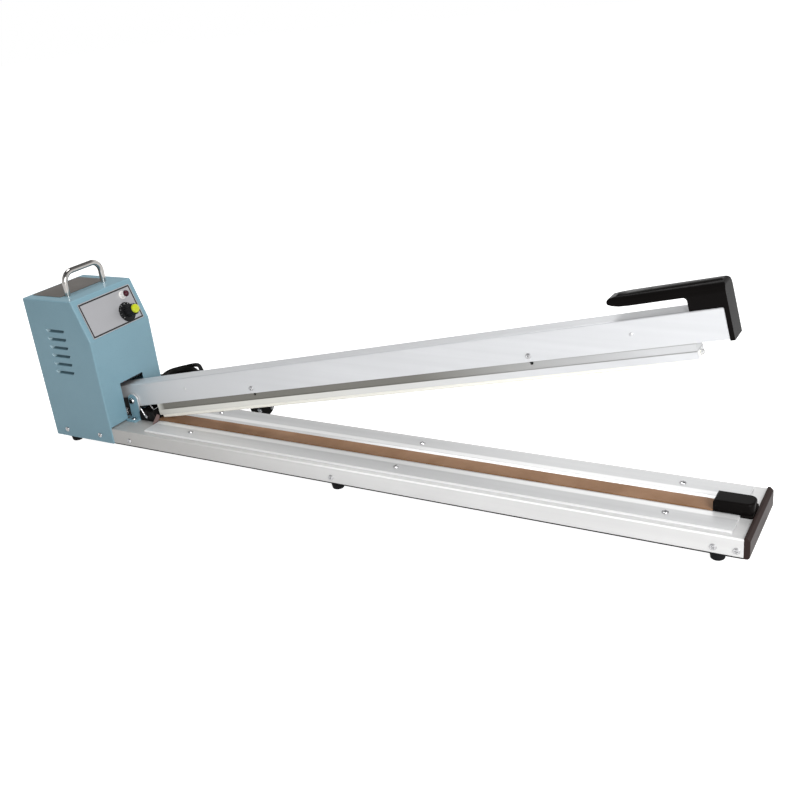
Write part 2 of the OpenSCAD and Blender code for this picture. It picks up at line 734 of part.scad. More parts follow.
// The arm: an aluminium channel with its open side down
module arm_channel() color([0.84, 0.85, 0.87]) on_arm() difference() {
    translate([-tail_l, 0, -arm_low]) along_x(arm_end + tail_l) difference() {
        union() {
            translate([-arm_w / 2, 0]) square([arm_w, arm_h - 2]);
            translate([-arm_w / 2 + 2, 0]) square([arm_w - 4, arm_h]);
            for (y = [-1, 1]) translate([y * (arm_w / 2 - 2), arm_h - 2]) circle(2);
        }
        translate([-arm_w / 2 + arm_wall, -cut]) square([arm_w - 2 * arm_wall, arm_h - arm_wall + cut]);
    }
    rod_y(pin_r + run_gap, arm_w + 2);
    translate([spring_u, 0, 0]) rod_y(spring_pin_r + hole_gap, arm_w + 2);
    for (u = guide_u) translate([u, 0, guide_v]) rod_y(guide_r + hole_gap, arm_w + 2);
    at_handle_screws() translate([0, 0, -4]) cylinder(r = guide_r + hole_gap, h = 8);
}

module arm_rivets() color("silver") on_arm() for (share = rivet_u, side = [-1, 1])
    translate([bar_start + share * (bar_end - bar_start), side * (arm_w / 2 + 0.5), 7.7]) rod_y(2, 1);

// Screws across the arm, on which the press bar hangs
module guide_screws() color("silver") on_arm() for (u = guide_u) translate([u, 0, guide_v]) {
    rod_y(guide_r, arm_w + 1);
    for (side = [-1, 1]) translate([0, side * (arm_w / 2 + 1), 0]) rod_y(3.4, 2);
}

// The handle: side outline with round corners, crowned across, and hollowed under the block
module arm_handle() color([0.1, 0.1, 0.11]) on_arm() difference() {
    intersection() {
        translate([arm_end, 0, 0]) along_y(handle_w) handle_outline();
        translate([arm_end - block_l - grip_l - cut, 0, -arm_low - 2])
            along_x(block_l + grip_l + end_wall + 2 * cut) crown_outline();
    }
    at_handle_screws() translate([0, 0, -4]) cylinder(r = guide_r, h = 14);
}

module handle_outline() {
    grip_low = arm_top + grip_gap;
    grip_top = grip_low + grip_h;
    nose = 2.8;
    tip = -block_l - grip_l;
    corner = 6;
    polygon([[tip, grip_low + 5], [tip + 3, grip_low + 2], [tip + 20, grip_low - 0.3], [-block_l, grip_low],
        [-block_l, arm_top], [0, arm_top], [0, -arm_low - 1.5], [end_wall, -arm_low - 1.5],
        [end_wall, grip_top - corner], [end_wall - corner, grip_top], [-block_l - 10, grip_top],
        [tip + 20, grip_top - 1.6], [tip + nose, grip_low + 5 + nose], [tip, grip_low + 5]]);
    translate([end_wall - corner, grip_top - corner]) circle(corner);
    translate([tip + nose, grip_low + 5]) circle(nose);
}

module crown_outline() {
    crown = 13;
    crown_h = arm_h + 2 + grip_gap + grip_h;
    translate([-handle_w / 2, 0]) square([handle_w, crown_h - crown]);
    translate([-handle_w / 2 + crown, 0]) square([handle_w - 2 * crown, crown_h]);
    for (side = [-1, 1]) translate([side * (handle_w / 2 - crown), crown_h - crown]) circle(crown);
}

module at_handle_screws() for (share = [0.3, 0.7])
    translate([arm_end - share * block_l, 0, arm_top]) children();

module spring_pin() color("silver") on_arm() translate([spring_u, 0, 0]) rod_y(spring_pin_r, arm_w + 1);

// The press bar: a runner that slides in the arm, and a holder that grips the strip
module press_bar() color([0.78, 0.79, 0.8]) on_arm() difference() {
    translate([bar_start, 0, 0]) along_x(bar_end - bar_start) difference() {
        union() {
            translate([-runner_w / 2, holder_top]) square([runner_w, runner_top - holder_top]);
            translate([-holder_w / 2, holder_low]) square([holder_w, holder_h]);
        }
        translate([-strip_w / 2 - 1, holder_low + 1.4]) square([strip_w + 2, holder_h - 3]);
        translate([-strip_w / 2 + 1, holder_low - cut]) square([strip_w - 2, 3]);
    }
    translate([bar_start + runner_end, 0, 0]) along_x(bar_end - bar_start - 2 * runner_end)
        translate([-runner_w / 2 + runner_wall, holder_top + 0.4])
            square([runner_w - 2 * runner_wall, runner_top - holder_top]);
    for (u = guide_u) translate([u, 0, 0]) along_y(arm_w)
        slot_outline(guide_r + side_gap, guide_v - press_travel - side_gap, guide_v);
}

module silicone_strip() color([0.96, 0.95, 0.88]) on_arm() translate([bar_start, 0, 0])
    along_x(bar_end - bar_start - 2) {
        translate([-strip_w / 2 - 0.9, holder_low + 1.5]) square([strip_w + 1.8, holder_h - 3.2]);
        translate([-strip_w / 2 + 1.1, holder_low - 1]) square([strip_w - 2.2, 3]);
        translate([-strip_w / 2, strip_low + 3]) square([strip_w, strip_h - 3 - touch_gap]);
        translate([-strip_w / 2 + 3, strip_low]) square([strip_w - 6, strip_h - touch_gap]);
        for (y = [-1, 1]) translate([y * (strip_w / 2 - 3), strip_low + 3]) circle(3);
    }

// The bent wires at both ends of the bar, which keep the strip in its holder
module bar_clip() color("silver") on_arm() {
    translate([bar_start, -runner_w / 2 + 1.5, holder_top])
        swept([[0, 0, 4], [-1.5, 0, 4], [-3.5, -0.3, 3.4], [-6, -0.8, 2.4], [-9, -1.2, 1.4],
            [-11.3, -1.4, 1.3], [-12.4, -1.5, 2.6], [-13.6, -1.5, 5.6], [-15, -1.5, 9.2],
            [-15.6, -1.5, 11]], 0.7, 8);
    translate([bar_end, 0, holder_low])
        swept([[0, 0, 6.2], [1.6, 0, 6.2], [3, 0, 5.4], [3.7, 0, 4], [3.5, 0, 2.4], [2.5, 0, 1.2],
            [1.2, 0, 0.9], [0, 0, 0.9]], 0.7, 8);
}

module press_springs() color([0.6, 0.6, 0.62]) on_arm() for (u = press_u) translate([u, 0, 0])
    swept(helix(press_r, holder_top + 1.2, arm_top - arm_wall - 0.8, 7, 12), 0.7, 6);

// The return spring: close coils between two open eyes
module return_spring() color([0.6, 0.6, 0.62]) translate([anchor_x, 0, 0]) {
    eye = spring_pin_r + spring_wire / 2 + 0.1;
    pin_z = pivot_z + spring_u * sin(open_angle);
    low = [for (a = [-30 : -30 : -270]) [eye * cos(a), 0, anchor_z + eye * sin(a)]];
    coils = helix(spring_r, anchor_z + eye + 4, pin_z - eye - 4, 8, 12);
    high = [for (a = [-90 : 30 : 150]) [eye * cos(a), 0, pin_z + eye * sin(a)]];
    swept(concat(low, coils, high), spring_wire / 2, 6);
}

module spring_anchor() color("silver") translate([anchor_x, 0, 0]) {
    translate([0, 0, anchor_z]) rod_y(spring_pin_r, 14.5);
    for (side = [-1, 1]) translate([-5, side * 8.25 - 1, low_z]) cube([10, 2, anchor_z - low_z + 4]);
}

// The rubber buffer that stops the open arm
module stop_buffer() color([0.12, 0.12, 0.13]) {
    buffer_x = pivot_x - (tail_l - 3) * cos(open_angle);
    buffer_top = pivot_z - deck_z - tail_l * sin(open_angle) - arm_low * cos(open_angle) - touch_gap;
    translate([buffer_x, 0, deck_z]) along_y(arm_w + 2)
        polygon([[0, 0], [buffer_l, 0], [buffer_l, buffer_top + buffer_l * tan(open_angle)],
            [0, buffer_top]]);
}

module switch_bracket() color("silver") {
    wall_y = switch_w / 2;
    translate([front_x - sheet_t - 1.5, wall_y - 1.5, tip_z + tip_l]) cube([1.5, 16, 22]);
    translate([switch_x - switch_l / 2, wall_y, tip_z + tip_l + 2])
        cube([front_x - sheet_t - 1.5 - switch_x + switch_l / 2, 1.5, switch_h - 2]);
}

module switch_body() color([0.13, 0.13, 0.14]) difference() {
    translate([switch_x - switch_l / 2, -switch_w / 2, tip_z + tip_l]) cube([switch_l, switch_w, switch_h]);
    translate([switch_x, 0, tip_z + tip_l - cut]) cylinder(r = tip_r + run_gap, h = 8);
}

module switch_plunger() color([0.7, 0.12, 0.1]) translate([switch_x, 0, tip_z]) {
    cylinder(r = tip_r, h = tip_l + 4);
}

// The transformer: laminated core with two windows, coil on its middle leg, and a strap
module transformer_core() color([0.35, 0.35, 0.37]) translate([core_x, 0, deck_z]) along_x_centred(core_t)
    difference() {
        translate([-core_w / 2, 0]) square([core_w, core_h]);
        for (side = [-1, 1]) translate([side * core_w / 4 - core_leg / 2, core_leg])
            square([core_leg, core_h - 2 * core_leg]);
    }

module along_x_centred(l) translate([-l / 2, 0, 0]) along_x(l) children();

module transformer_coil() color([0.75, 0.5, 0.25]) translate([core_x, 0, deck_z]) difference() {
    along_x_centred(core_t + 2 * coil_out) translate([0, core_leg + 0.2])
        round_rect(core_w / 2 + core_leg - 0.4, core_h - 2 * core_leg - 0.4, 4);
    along_x_centred(core_t) translate([-core_w / 4 + core_leg / 2, 0])
        square([core_w / 2 - core_leg, core_h]);
    for (side = [0, 1]) mirror([0, side, 0]) translate([-core_t / 2, core_w / 4 + core_leg / 2, 0])
        cube([core_t, core_w, core_h]);
}

module transformer_strap() color("silver") translate([core_x, 0, deck_z])
    along_x_centred(strap_w) difference() {
        union() {
            translate([-core_w / 2 - strap_t, 0]) square([core_w + 2 * strap_t, core_h + strap_t]);
            translate([-core_w / 2 - strap_foot, 0]) square([core_w + 2 * strap_foot, strap_t]);
        }
        translate([-core_w / 2, -cut]) square([core_w, core_h + cut]);
    }

// The board hangs on the timer's dial unit, which the panel holds
module timer_board() color([0.15, 0.4, 0.22]) on_panel(knob_y, knob_up)
    translate([-sheet_t - pot_l - board_t, -board_w + 18, -board_h / 2]) cube([board_t, board_w, board_h]);

module timer_dial_unit() color([0.3, 0.32, 0.35]) on_panel(knob_y, knob_up) {
    translate([-sheet_t - pot_l, 0, 0]) rod_x(pot_r, pot_l);
    translate([-sheet_t, 0, 0]) rod_x(nut_r, sheet_t + label_t);
    translate([label_t, 0, 0]) rod_x(nut_r - 0.2, 2);
    translate([label_t + 2, 0, 0]) rod_x(shaft_r, knob_h - 5.5);
}

module timer_relay() color([0.2, 0.35, 0.6]) on_panel(knob_y, knob_up) {
    translate([-sheet_t - pot_l - board_t - 15, -30, -8]) cube([15, 19, 16]);
    translate([-sheet_t - pot_l - board_t - 12, 4, 0]) rod_x(5, 12);
}

// The gland: a collar on the rear wall, a threaded part through it and a tapered strain relief
module cord_gland() color([0.1, 0.1, 0.11])
    translate([rear_x, gland_y, gland_z]) rotate([0, -90, 0]) difference() {
        rotate_extrude() polygon([[0, -8], [gland_r - 2, -8], [gland_r - 2, 0], [gland_r, 0], [gland_r, 3],
            [cord_r + 2.6, 3.5], [cord_r + 1, 3 + relief_l], [0, 3 + relief_l]]);
        translate([0, 0, -8 - cut]) cylinder(r = cord_r, h = 8 + cut);
    }

module power_cord() color([0.08, 0.08, 0.09]) translate([rear_x, 0, 0]) swept(cord_route, cord_r, 10);

module cord_tail() color([0.08, 0.08, 0.09]) translate([rear_x, 0, 0]) swept(tail_route, cord_r, 10);

// The tied hank: the outer shape of its turns, a ring with straight sides and round ends
module cord_hank() color([0.08, 0.08, 0.09]) on_hank() linear_extrude(hank_h) difference() {
    hank_outline(hank_out);
    hank_outline(hank_in);
}

module hank_outline(r) {
    square([hank_run, 2 * r], center = true);
    for (x = [-1, 1]) translate([x * hank_run / 2, 0]) circle(r);
}

module on_hank() translate([rear_x + hank_x, hank_y, tie_t]) rotate(hank_turn) children();

module cord_ties() color([0.15, 0.15, 0.16]) on_hank() for (side = [-1, 1])
    translate([0, side * hank_mid, 0]) rotate([90, 0, 90]) linear_extrude(9, center = true) difference() {
        translate([-cord_d - tie_t, -tie_t]) square([2 * (cord_d + tie_t), hank_h + 2 * tie_t]);
        translate([-cord_d, 0]) square([2 * cord_d, hank_h]);
    }

// The plug: a turned body with a tapered tail, and two pins
module mains_plug() color([0.1, 0.1, 0.11])
    translate([rear_x + plug_x, plug_y, plug_r]) rotate([0, 0, plug_turn]) rotate([0, 90, 0]) {
        rotate_extrude() polygon([[0, 0], [cord_r + 1, 0], [cord_r + 2.8, 20], [11, 24], [13, 34],
            [plug_r - 1, 40], [plug_r, 41], [plug_r, plug_l + 6], [plug_r - 1, plug_l + 7], [0, plug_l + 7]]);
        for (side = [-1, 1]) translate([0, side * 9.5, plug_l + 6]) {
            cylinder(r = 2.4, h = 18);
            translate([0, 0, 18]) sphere(2.4);
        }
    }

casing_cover();
casing_screws();
top_plate();
control_plate();
timer_knob();
knob_cap();
lamp_body();
lamp_lens();
carrying_handle();
handle_nuts();
base_profile();
bottom_plate();
base_end_cap();
base_screws();
rubber_feet();
foot_screws();
near_clamp_plate();
far_clamp_plate();
clamp_screws();
bed_strip();
heating_ribbon();
cloth_cover();
end_terminal();
end_cover();
hinge_terminal();
terminal_clips();
near_hinge_bracket();
far_hinge_bracket();
bracket_screws();
hinge_pin();
hinge_washers();
arm_channel();
arm_rivets();
guide_screws();
arm_handle();
spring_pin();
press_bar();
silicone_strip();
bar_clip();
press_springs();
return_spring();
spring_anchor();
stop_buffer();
switch_bracket();
switch_body();
switch_plunger();
transformer_core();
transformer_coil();
transformer_strap();
timer_board();
timer_dial_unit();
timer_relay();
cord_gland();
power_cord();
cord_hank();
cord_ties();
cord_tail();
mains_plug();
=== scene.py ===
# %% [markdown]
# # A long-arm impulse sealer, dressed in Blender
#
# The machine joins plastic film. A folded steel casing holds the transformer and the timer. A flat
# aluminium base carries a heated strip, and a long aluminium arm presses the film on it.
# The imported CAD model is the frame. This script keeps the nodes whose shape is right and gives them
# a finish. It makes new pieces where softer edges are needed, and rides every piece on a body, so
# that the arm still closes.

# %% Load the frame
import json
import math

import bmesh
import bpy
from mathutils import Matrix, Vector


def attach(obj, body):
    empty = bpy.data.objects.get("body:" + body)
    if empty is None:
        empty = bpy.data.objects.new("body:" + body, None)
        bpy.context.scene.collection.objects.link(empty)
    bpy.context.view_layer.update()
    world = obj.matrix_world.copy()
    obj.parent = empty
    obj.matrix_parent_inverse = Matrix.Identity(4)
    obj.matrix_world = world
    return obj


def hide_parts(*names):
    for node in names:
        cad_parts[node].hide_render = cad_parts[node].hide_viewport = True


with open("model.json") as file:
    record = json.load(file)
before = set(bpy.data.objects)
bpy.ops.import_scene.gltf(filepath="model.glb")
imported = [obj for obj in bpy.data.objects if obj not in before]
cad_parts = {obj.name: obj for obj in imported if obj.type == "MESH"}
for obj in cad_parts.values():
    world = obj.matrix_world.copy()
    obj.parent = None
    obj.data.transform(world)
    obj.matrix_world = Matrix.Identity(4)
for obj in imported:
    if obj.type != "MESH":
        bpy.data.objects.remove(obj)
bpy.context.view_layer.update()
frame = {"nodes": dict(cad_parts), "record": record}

# %% [markdown]
# ## The camera
#
# The camera stands where the photographer stood. Its place and direction were solved from the
# straight edges of the base, the arm and the casing.
# A camera looks along its own -Z, so its matrix has right, up and backward as columns.

# %% Camera
eye_place = Vector((0.69205, -0.9713, 0.6001))
eye_right = Vector((0.8622, 0.4957, -0.1043))
eye_up = Vector((-0.1116, 0.3868, 0.9154))
eye_back = Vector((0.4942, -0.7776, 0.3888))
camera_data = bpy.data.cameras.new("camera")
camera_data.sensor_width = 36
camera_data.lens = 44.88
camera_data.clip_start = 0.01
camera = bpy.data.objects.new("camera", camera_data)
eye_axes = Matrix((eye_right, eye_up, eye_back)).transposed().to_4x4()
camera.matrix_world = Matrix.Translation(eye_place) @ eye_axes
bpy.context.scene.collection.objects.link(camera)
bpy.context.scene.camera = camera
print("camera looks along", [round(-x, 3) for x in eye_back])

# %% [markdown]
# ## Millimetres, and three places to work in
#
# The drawing is in millimetres and Blender is in metres. Every new mesh is built in millimetres and
# shrunk once, when it becomes an object. The panel and the arm lean, so each has a matrix that lays
# an upright mesh in its place.

# %% Main places
def moved(x, y, z):
    return Matrix.Translation((x, y, z))


def turned(degrees, axis="Z"):
    return Matrix.Rotation(math.radians(degrees), 4, axis)


def facing(x, y, z, axis="X", degrees=0.0):
    return moved(x, y, z) @ turned(degrees, axis)


MM = 0.001
front_x, rear_x = -392.75, -513.75
casing_mid = (front_x + rear_x) / 2
base_end = 507.25
ground_gap, deck_z, plate_z = 12.0, 35.5, 38.5
panel_z, panel_rise, panel_depth = 170, 59.7, 22
panel_lean = math.atan2(panel_depth, panel_rise)
arm_open = math.radians(11.9)
arm_start, arm_length = 43, 800
flange_z = 37.7
pivot = Vector((front_x + 9, 0, 64))
on_panel = moved(front_x, 0, panel_z) @ Matrix.Rotation(-panel_lean, 4, "Y")
on_arm = moved(*pivot) @ Matrix.Rotation(-arm_open, 4, "Y")
print("panel leans", round(math.degrees(panel_lean), 1), "degrees")

# %% [markdown]
# ## Outlines and solids
#
# Each piece starts as a flat outline or a turned profile. `outline` makes a face from corners,
# `pull` extrudes it and `turn` spins a profile about Z. `arc` gives the points of a round corner.

# %% Outlines and solids
def outline(corners):
    bm = bmesh.new()
    bm.faces.new([bm.verts.new(c) for c in corners])
    return bm


def pull(bm, direction):
    made = bmesh.ops.extrude_face_region(bm, geom=bm.faces[:])["geom"]
    points = [g for g in made if isinstance(g, bmesh.types.BMVert)]
    bmesh.ops.translate(bm, vec=direction, verts=points)
    bmesh.ops.recalc_face_normals(bm, faces=bm.faces)
    return bm


def turn(profile, steps=32):
    """profile is a list of (radius, height) from the bottom to the top."""
    bm = bmesh.new()
    points = [bm.verts.new((r, 0, z)) for r, z in profile]
    edges = [bm.edges.new(pair) for pair in zip(points, points[1:])]
    bmesh.ops.spin(bm, geom=points + edges, cent=(0, 0, 0), axis=(0, 0, 1), dvec=(0, 0, 0),
                   angle=2 * math.pi, steps=steps, use_merge=True)
    bmesh.ops.remove_doubles(bm, verts=bm.verts, dist=0.0005)
    bmesh.ops.recalc_face_normals(bm, faces=bm.faces)
    return bm


def arc(x, z, radius, start, end, steps):
    """Points of an arc in a flat outline, angles in degrees, both ends included."""
    angles = [math.radians(start + (end - start) * i / steps) for i in range(steps + 1)]
    return [(x + radius * math.cos(a), z + radius * math.sin(a)) for a in angles]


def block(low, high):
    corners = [(low[0], low[1]), (high[0], low[1]), (high[0], high[1]), (low[0], high[1])]
    return pull(outline([(x, y, low[2]) for x, y in corners]), (0, 0, high[2] - low[2]))


def side_prism(points, y0, y1):
    """A prism from an X-Z outline, from y0 to y1."""
    return pull(outline([(x, y0, z) for x, z in points]), (0, y1 - y0, 0))

# %% [markdown]
# ## Edges, places and joins
#
# Real edges are never perfectly sharp. `round_off` bevels edges, and the next two functions pick
# them by angle or by height. `put` lays a mesh in its place, and `join` collects several in one.

# %% Edges, places and joins
def round_off(bm, edges, width, segments=3):
    bmesh.ops.bevel(bm, geom=edges, offset=width, offset_type="OFFSET", segments=segments,
                    profile=0.5, affect="EDGES", material=-1, clamp_overlap=True)
    return bm


def sharp_edges(bm, degrees=40):
    limit = math.radians(degrees)
    return [e for e in bm.edges if len(e.link_faces) == 2 and e.calc_face_angle(0) > limit]


def edges_above(edges, height):
    return [e for e in edges if all(v.co.z > height for v in e.verts)]


def put(bm, matrix):
    bmesh.ops.transform(bm, matrix=matrix, verts=bm.verts)
    return bm


def mesh_of(bm, name="part"):
    mesh = bpy.data.meshes.new(name)
    bm.to_mesh(mesh)
    bm.free()
    return mesh


def join(parts):
    """Adds the meshes of parts to one bmesh."""
    whole = bmesh.new()
    for part in parts:
        mesh = mesh_of(part)
        whole.from_mesh(mesh)
        bpy.data.meshes.remove(mesh)
    return whole

# %% [markdown]
# ## From mesh to piece
#
# `piece` makes the object, shades it smooth with its sharp edges kept, gives it its finish, hangs it
# on the empty of the body it rides on and hides the CAD nodes it stands for. `even_shading` keeps
# large flat faces flat beside rounded edges.

# %% From mesh to piece
def show(name, data):
    obj = bpy.data.objects.new(name, data)
    bpy.context.scene.collection.objects.link(obj)
    return obj


def piece(bm, name, body, slot, stands_for=(), sharp=35):
    bmesh.ops.scale(bm, vec=(MM, MM, MM), verts=bm.verts)
    mesh = mesh_of(bm, name)
    mesh.shade_smooth()
    mesh.set_sharp_from_angle(angle=math.radians(sharp))
    obj = show(name, mesh)
    obj.data.materials.append(finish_of[slot])
    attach(obj, body)
    if stands_for:
        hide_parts(*stands_for)
    print(name, "has", len(mesh.polygons), "faces")
    return obj


def solved(obj):
    """The mesh that an object's modifiers or text make."""
    done = obj.evaluated_get(bpy.context.evaluated_depsgraph_get())
    bm = bmesh.new()
    bm.from_mesh(done.to_mesh())
    done.to_mesh_clear()
    return bm


def carved(bm, tool, how="DIFFERENCE"):
    """Cuts tool out of bm, or keeps what both share, with an exact boolean."""
    pair = [show("solid", mesh_of(source)) for source in (bm, tool)]
    modifier = pair[0].modifiers.new("cut", "BOOLEAN")
    modifier.operation, modifier.solver, modifier.object = how, "EXACT", pair[1]
    result = solved(pair[0])
    for obj in pair:
        mesh = obj.data
        bpy.data.objects.remove(obj)
        bpy.data.meshes.remove(mesh)
    return result


def even_shading(obj):
    modifier = obj.modifiers.new("even shading", "WEIGHTED_NORMAL")
    modifier.keep_sharp = True
    return obj


def soften(obj, width, degrees):
    """Rounds every edge sharper than degrees by width millimetres."""
    modifier = obj.modifiers.new("soft edges", "BEVEL")
    modifier.width, modifier.segments = width * MM, 2
    modifier.limit_method, modifier.angle_limit = "ANGLE", math.radians(degrees)
    return even_shading(obj)

# %% [markdown]
# ## Building nodes
#
# Materials are trees of nodes. `add` makes one node, and its inputs take plain values or the
# outputs of other nodes. The others are the kinds used most: a range mapped to another, a sum, a
# noise and a mix.

# %% Building nodes
def add(tree, kind, inputs=None, **values):
    """Adds a node, sets its properties and inputs by name, and links what comes from a socket."""
    node = tree.nodes.new("ShaderNode" + kind)
    for key, value in values.items():
        if hasattr(node, key):
            setattr(node, key, value)
        else:
            node.inputs[key.replace("_", " ")].default_value = value
    for label, source in (inputs or {}).items():
        if isinstance(source, bpy.types.NodeSocket):
            tree.links.new(source, node.inputs[label])
        else:
            node.inputs[label].default_value = source
    return node


def ramp(tree, value, span=(0.0, 1.0), to=(0.0, 1.0)):
    """Maps value from span to another range, held at both ends."""
    return add(tree, "MapRange", {"Value": value}, From_Min=span[0], From_Max=span[1],
               To_Min=to[0], To_Max=to[1]).outputs["Result"]


def maths(tree, operation, *values, kind="Math"):
    return add(tree, kind, dict(enumerate(values)), operation=operation).outputs[0]


def vectors(tree, operation, *values):
    return maths(tree, operation, *values, kind="VectorMath")


def noise(tree, place, scale, detail=2.0, roughness=0.5):
    return add(tree, "TexNoise", {"Vector": place, "Scale": scale}, Detail=detail,
               Roughness=roughness).outputs["Fac"]


def mixed(tree, factor, a, b, kind="RGBA"):
    """Mixes two colours, each a socket or three numbers, or with kind FLOAT two levels."""
    if kind == "RGBA":
        a, b = [c if isinstance(c, bpy.types.NodeSocket) else (*c, 1) for c in (a, b)]
    return add(tree, "Mix", {"Factor": factor, "A": a, "B": b}, data_type=kind).outputs["Result"]


def new_group(name, inputs, outputs):
    """inputs gives each name its default number, or None where it is a vector."""
    group = bpy.data.node_groups.new(name, "ShaderNodeTree")
    for label, default in inputs.items():
        kind = "NodeSocketVector" if default is None else "NodeSocketFloat"
        socket = group.interface.new_socket(name=label, in_out="INPUT", socket_type=kind)
        if default is not None:
            socket.default_value = default
    for label in outputs:
        group.interface.new_socket(name=label, in_out="OUTPUT", socket_type="NodeSocketFloat")
    ends = group.nodes.new("NodeGroupInput"), group.nodes.new("NodeGroupOutput")
    return group, ends[0].outputs, ends[1].inputs

# %% [markdown]
# ## Shared patterns
#
# Three node groups serve many finishes. `drawn lines` gives the long fine streaks that a die leaves
# on extruded aluminium. `skin` is the faint waviness of enamel and plastic, and `grime` gives soft
# blotches and specks. They put out only values. The shader stays in each material.

# %% Lines, skin and grime
lines_group, given, result = new_group(
    "drawn lines", {"Vector": None, "Scale": 1.0}, ["Lines", "Bands"])
for label, stretch, detail, roughness in [("Lines", (6, 900, 900), 3.0, 0.6),
                                          ("Bands", (2, 110, 110), 2.0, 0.5)]:
    stretched = vectors(lines_group, "MULTIPLY", given["Vector"], stretch)
    drawn = noise(lines_group, stretched, given["Scale"], detail, roughness)
    lines_group.links.new(drawn, result[label])

skin_group, given, result = new_group("skin", {"Vector": None, "Scale": 400.0}, ["Height"])
skin = noise(skin_group, given["Vector"], given["Scale"], 2.0, 0.45)
skin_group.links.new(skin, result["Height"])

grime_group, given, result = new_group(
    "grime", {"Vector": None, "Scale": 9.0}, ["Blotch", "Specks"])
blotch = noise(grime_group, given["Vector"], given["Scale"], 5.0, 0.6)
specks = noise(grime_group, given["Vector"], 850.0)
grime_group.links.new(ramp(grime_group, blotch, (0.35, 0.7)), result["Blotch"])
grime_group.links.new(ramp(grime_group, specks, (0.66, 0.74)), result["Specks"])
print("pattern groups:", [g.name for g in bpy.data.node_groups])

# %% [markdown]
# ### A soft box
#
# Painted shade and highlights have their places. The fourth group, `box mask`, gives 1 inside a
# box and 0 outside.
# It measures how deep a point lies under each pair of sides, and multiplies the three answers.

# %% Box mask
box_group, given, result = new_group(
    "box mask", {"Vector": None, "Centre": None, "Half": None, "Blur": 0.001}, ["Mask"])
away = vectors(box_group, "SUBTRACT", given["Vector"], given["Centre"])
depth = vectors(box_group, "SUBTRACT", given["Half"], vectors(box_group, "ABSOLUTE", away))
depth = vectors(box_group, "DIVIDE", depth, given["Blur"])
depth = add(box_group, "SeparateXYZ", {0: depth}).outputs
in_x, in_y, in_z = [ramp(box_group, depth[axis], (-1.0, 1.0)) for axis in "XYZ"]
in_all = maths(box_group, "MULTIPLY", maths(box_group, "MULTIPLY", in_x, in_y), in_z)
box_group.links.new(in_all, result["Mask"])


def box_mask(tree, place, centre, half, blur):
    """A box in millimetres, soft by blur. A half size of None is endless."""
    half = [9.0 if size is None else size * MM for size in half]
    return add(tree, "Group", {"Vector": place, "Centre": [c * MM for c in centre], "Half": half},
               node_tree=box_group, Blur=blur * MM).outputs["Mask"]


print("box mask has", len(box_group.nodes), "nodes")

# %% [markdown]
# ## Finishes
#
# Each finish is a material with one Principled shader. `finish` builds the common chain: a base
# colour that drifts a little with `grime`, a roughness that varies, and a small bump. The patterns
# read Object coordinates, because every piece sits at the origin and its place is in its mesh.

# %% A finish
finish_of = {}
relief_depth, coat_roughness = 0.00005, 0.12
streak_shade, streak_gloss = 0.3, 0.09


def new_material(slot):
    finish_of[slot] = bpy.data.materials.new(slot)
    finish_of[slot].use_nodes = True
    tree = finish_of[slot].node_tree
    return tree, tree.nodes["Principled BSDF"], add(tree, "TexCoord").outputs["Object"]


def surface(tree, shader, colour, roughness, height, bump, depth):
    """Links a colour, a roughness and a relief to the shader."""
    relief = add(tree, "Bump", {"Height": height}, Strength=bump, Distance=depth)
    tree.links.new(colour, shader.inputs["Base Color"])
    tree.links.new(roughness, shader.inputs["Roughness"])
    tree.links.new(relief.outputs["Normal"], shader.inputs["Normal"])


def finish(slot, colour, roughness, metallic=0.0, drift=0.2, rough_drift=0.1, bump=0.05,
           scale=400.0, coat=0.0, speck_colour=None, lines=0.0, line_axis="X", specular=0.5,
           ior=1.5):
    tree, shader, place = new_material(slot)
    for label, value in [("Metallic", metallic), ("Coat Weight", coat), ("IOR", ior),
                         ("Coat Roughness", coat_roughness), ("Specular IOR Level", specular)]:
        shader.inputs[label].default_value = value
    grime = add(tree, "Group", {"Vector": place}, node_tree=grime_group).outputs
    tint = mixed(tree, grime["Blotch"], colour, [c * (1 - drift) for c in colour])
    if speck_colour:
        tint = mixed(tree, grime["Specks"], tint, speck_colour)
    rough = ramp(tree, grime["Blotch"], to=(roughness, min(1.0, roughness + rough_drift)))
    if lines:
        if line_axis == "Y":
            turn_left = (0, 0, math.pi / 2)
            place = add(tree, "Mapping", {"Vector": place}, Rotation=turn_left).outputs[0]
        drawn = add(tree, "Group", {"Vector": place}, node_tree=lines_group).outputs
        tint = mixed(tree, drawn["Bands"], tint, [c * (1 - streak_shade * lines) for c in colour])
        sway = ramp(tree, drawn["Lines"], to=(-streak_gloss * lines, streak_gloss * lines))
        rough = maths(tree, "ADD", rough, sway)
        height = drawn["Lines"]
    else:
        skin = add(tree, "Group", {"Vector": place}, node_tree=skin_group, Scale=scale)
        height = skin.outputs["Height"]
    surface(tree, shader, tint, rough, height, bump, relief_depth)


# %% [markdown]
# ### Metals
#
# The extrusions are satin, drawn along X. Part of their look is scattered light, so they are not
# fully metallic. Zinc, chrome and spring wire are. The casing's enamel is a dull grey-blue with a
# thin clear gloss.

# %% Metals and enamel
finish("painted_steel", (0.200, 0.345, 0.415), 0.44, drift=0.05, bump=0.06, scale=900.0, coat=0.2,
       speck_colour=(0.15, 0.24, 0.29), specular=0.35)
finish("base_aluminium", (0.76, 0.758, 0.755), 0.42, 0.45, drift=0.06, bump=0.12, lines=0.5)
finish("arm_aluminium", (0.77, 0.78, 0.80), 0.40, 0.45, drift=0.05, bump=0.12, lines=0.5)
finish("plate_aluminium", (0.75, 0.755, 0.76), 0.34, 0.5, drift=0.05, bump=0.12, lines=0.6)
finish("bar_aluminium", (0.785, 0.795, 0.815), 0.38, 0.5, drift=0.06, bump=0.12, lines=0.6)
finish("label_metal", (0.485, 0.485, 0.505), 0.38, 0.5, drift=0.05, scale=1500.0)
finish("top_metal", (0.19, 0.165, 0.145), 0.34, 0.8, drift=0.3, bump=0.1, lines=0.7, line_axis="Y")
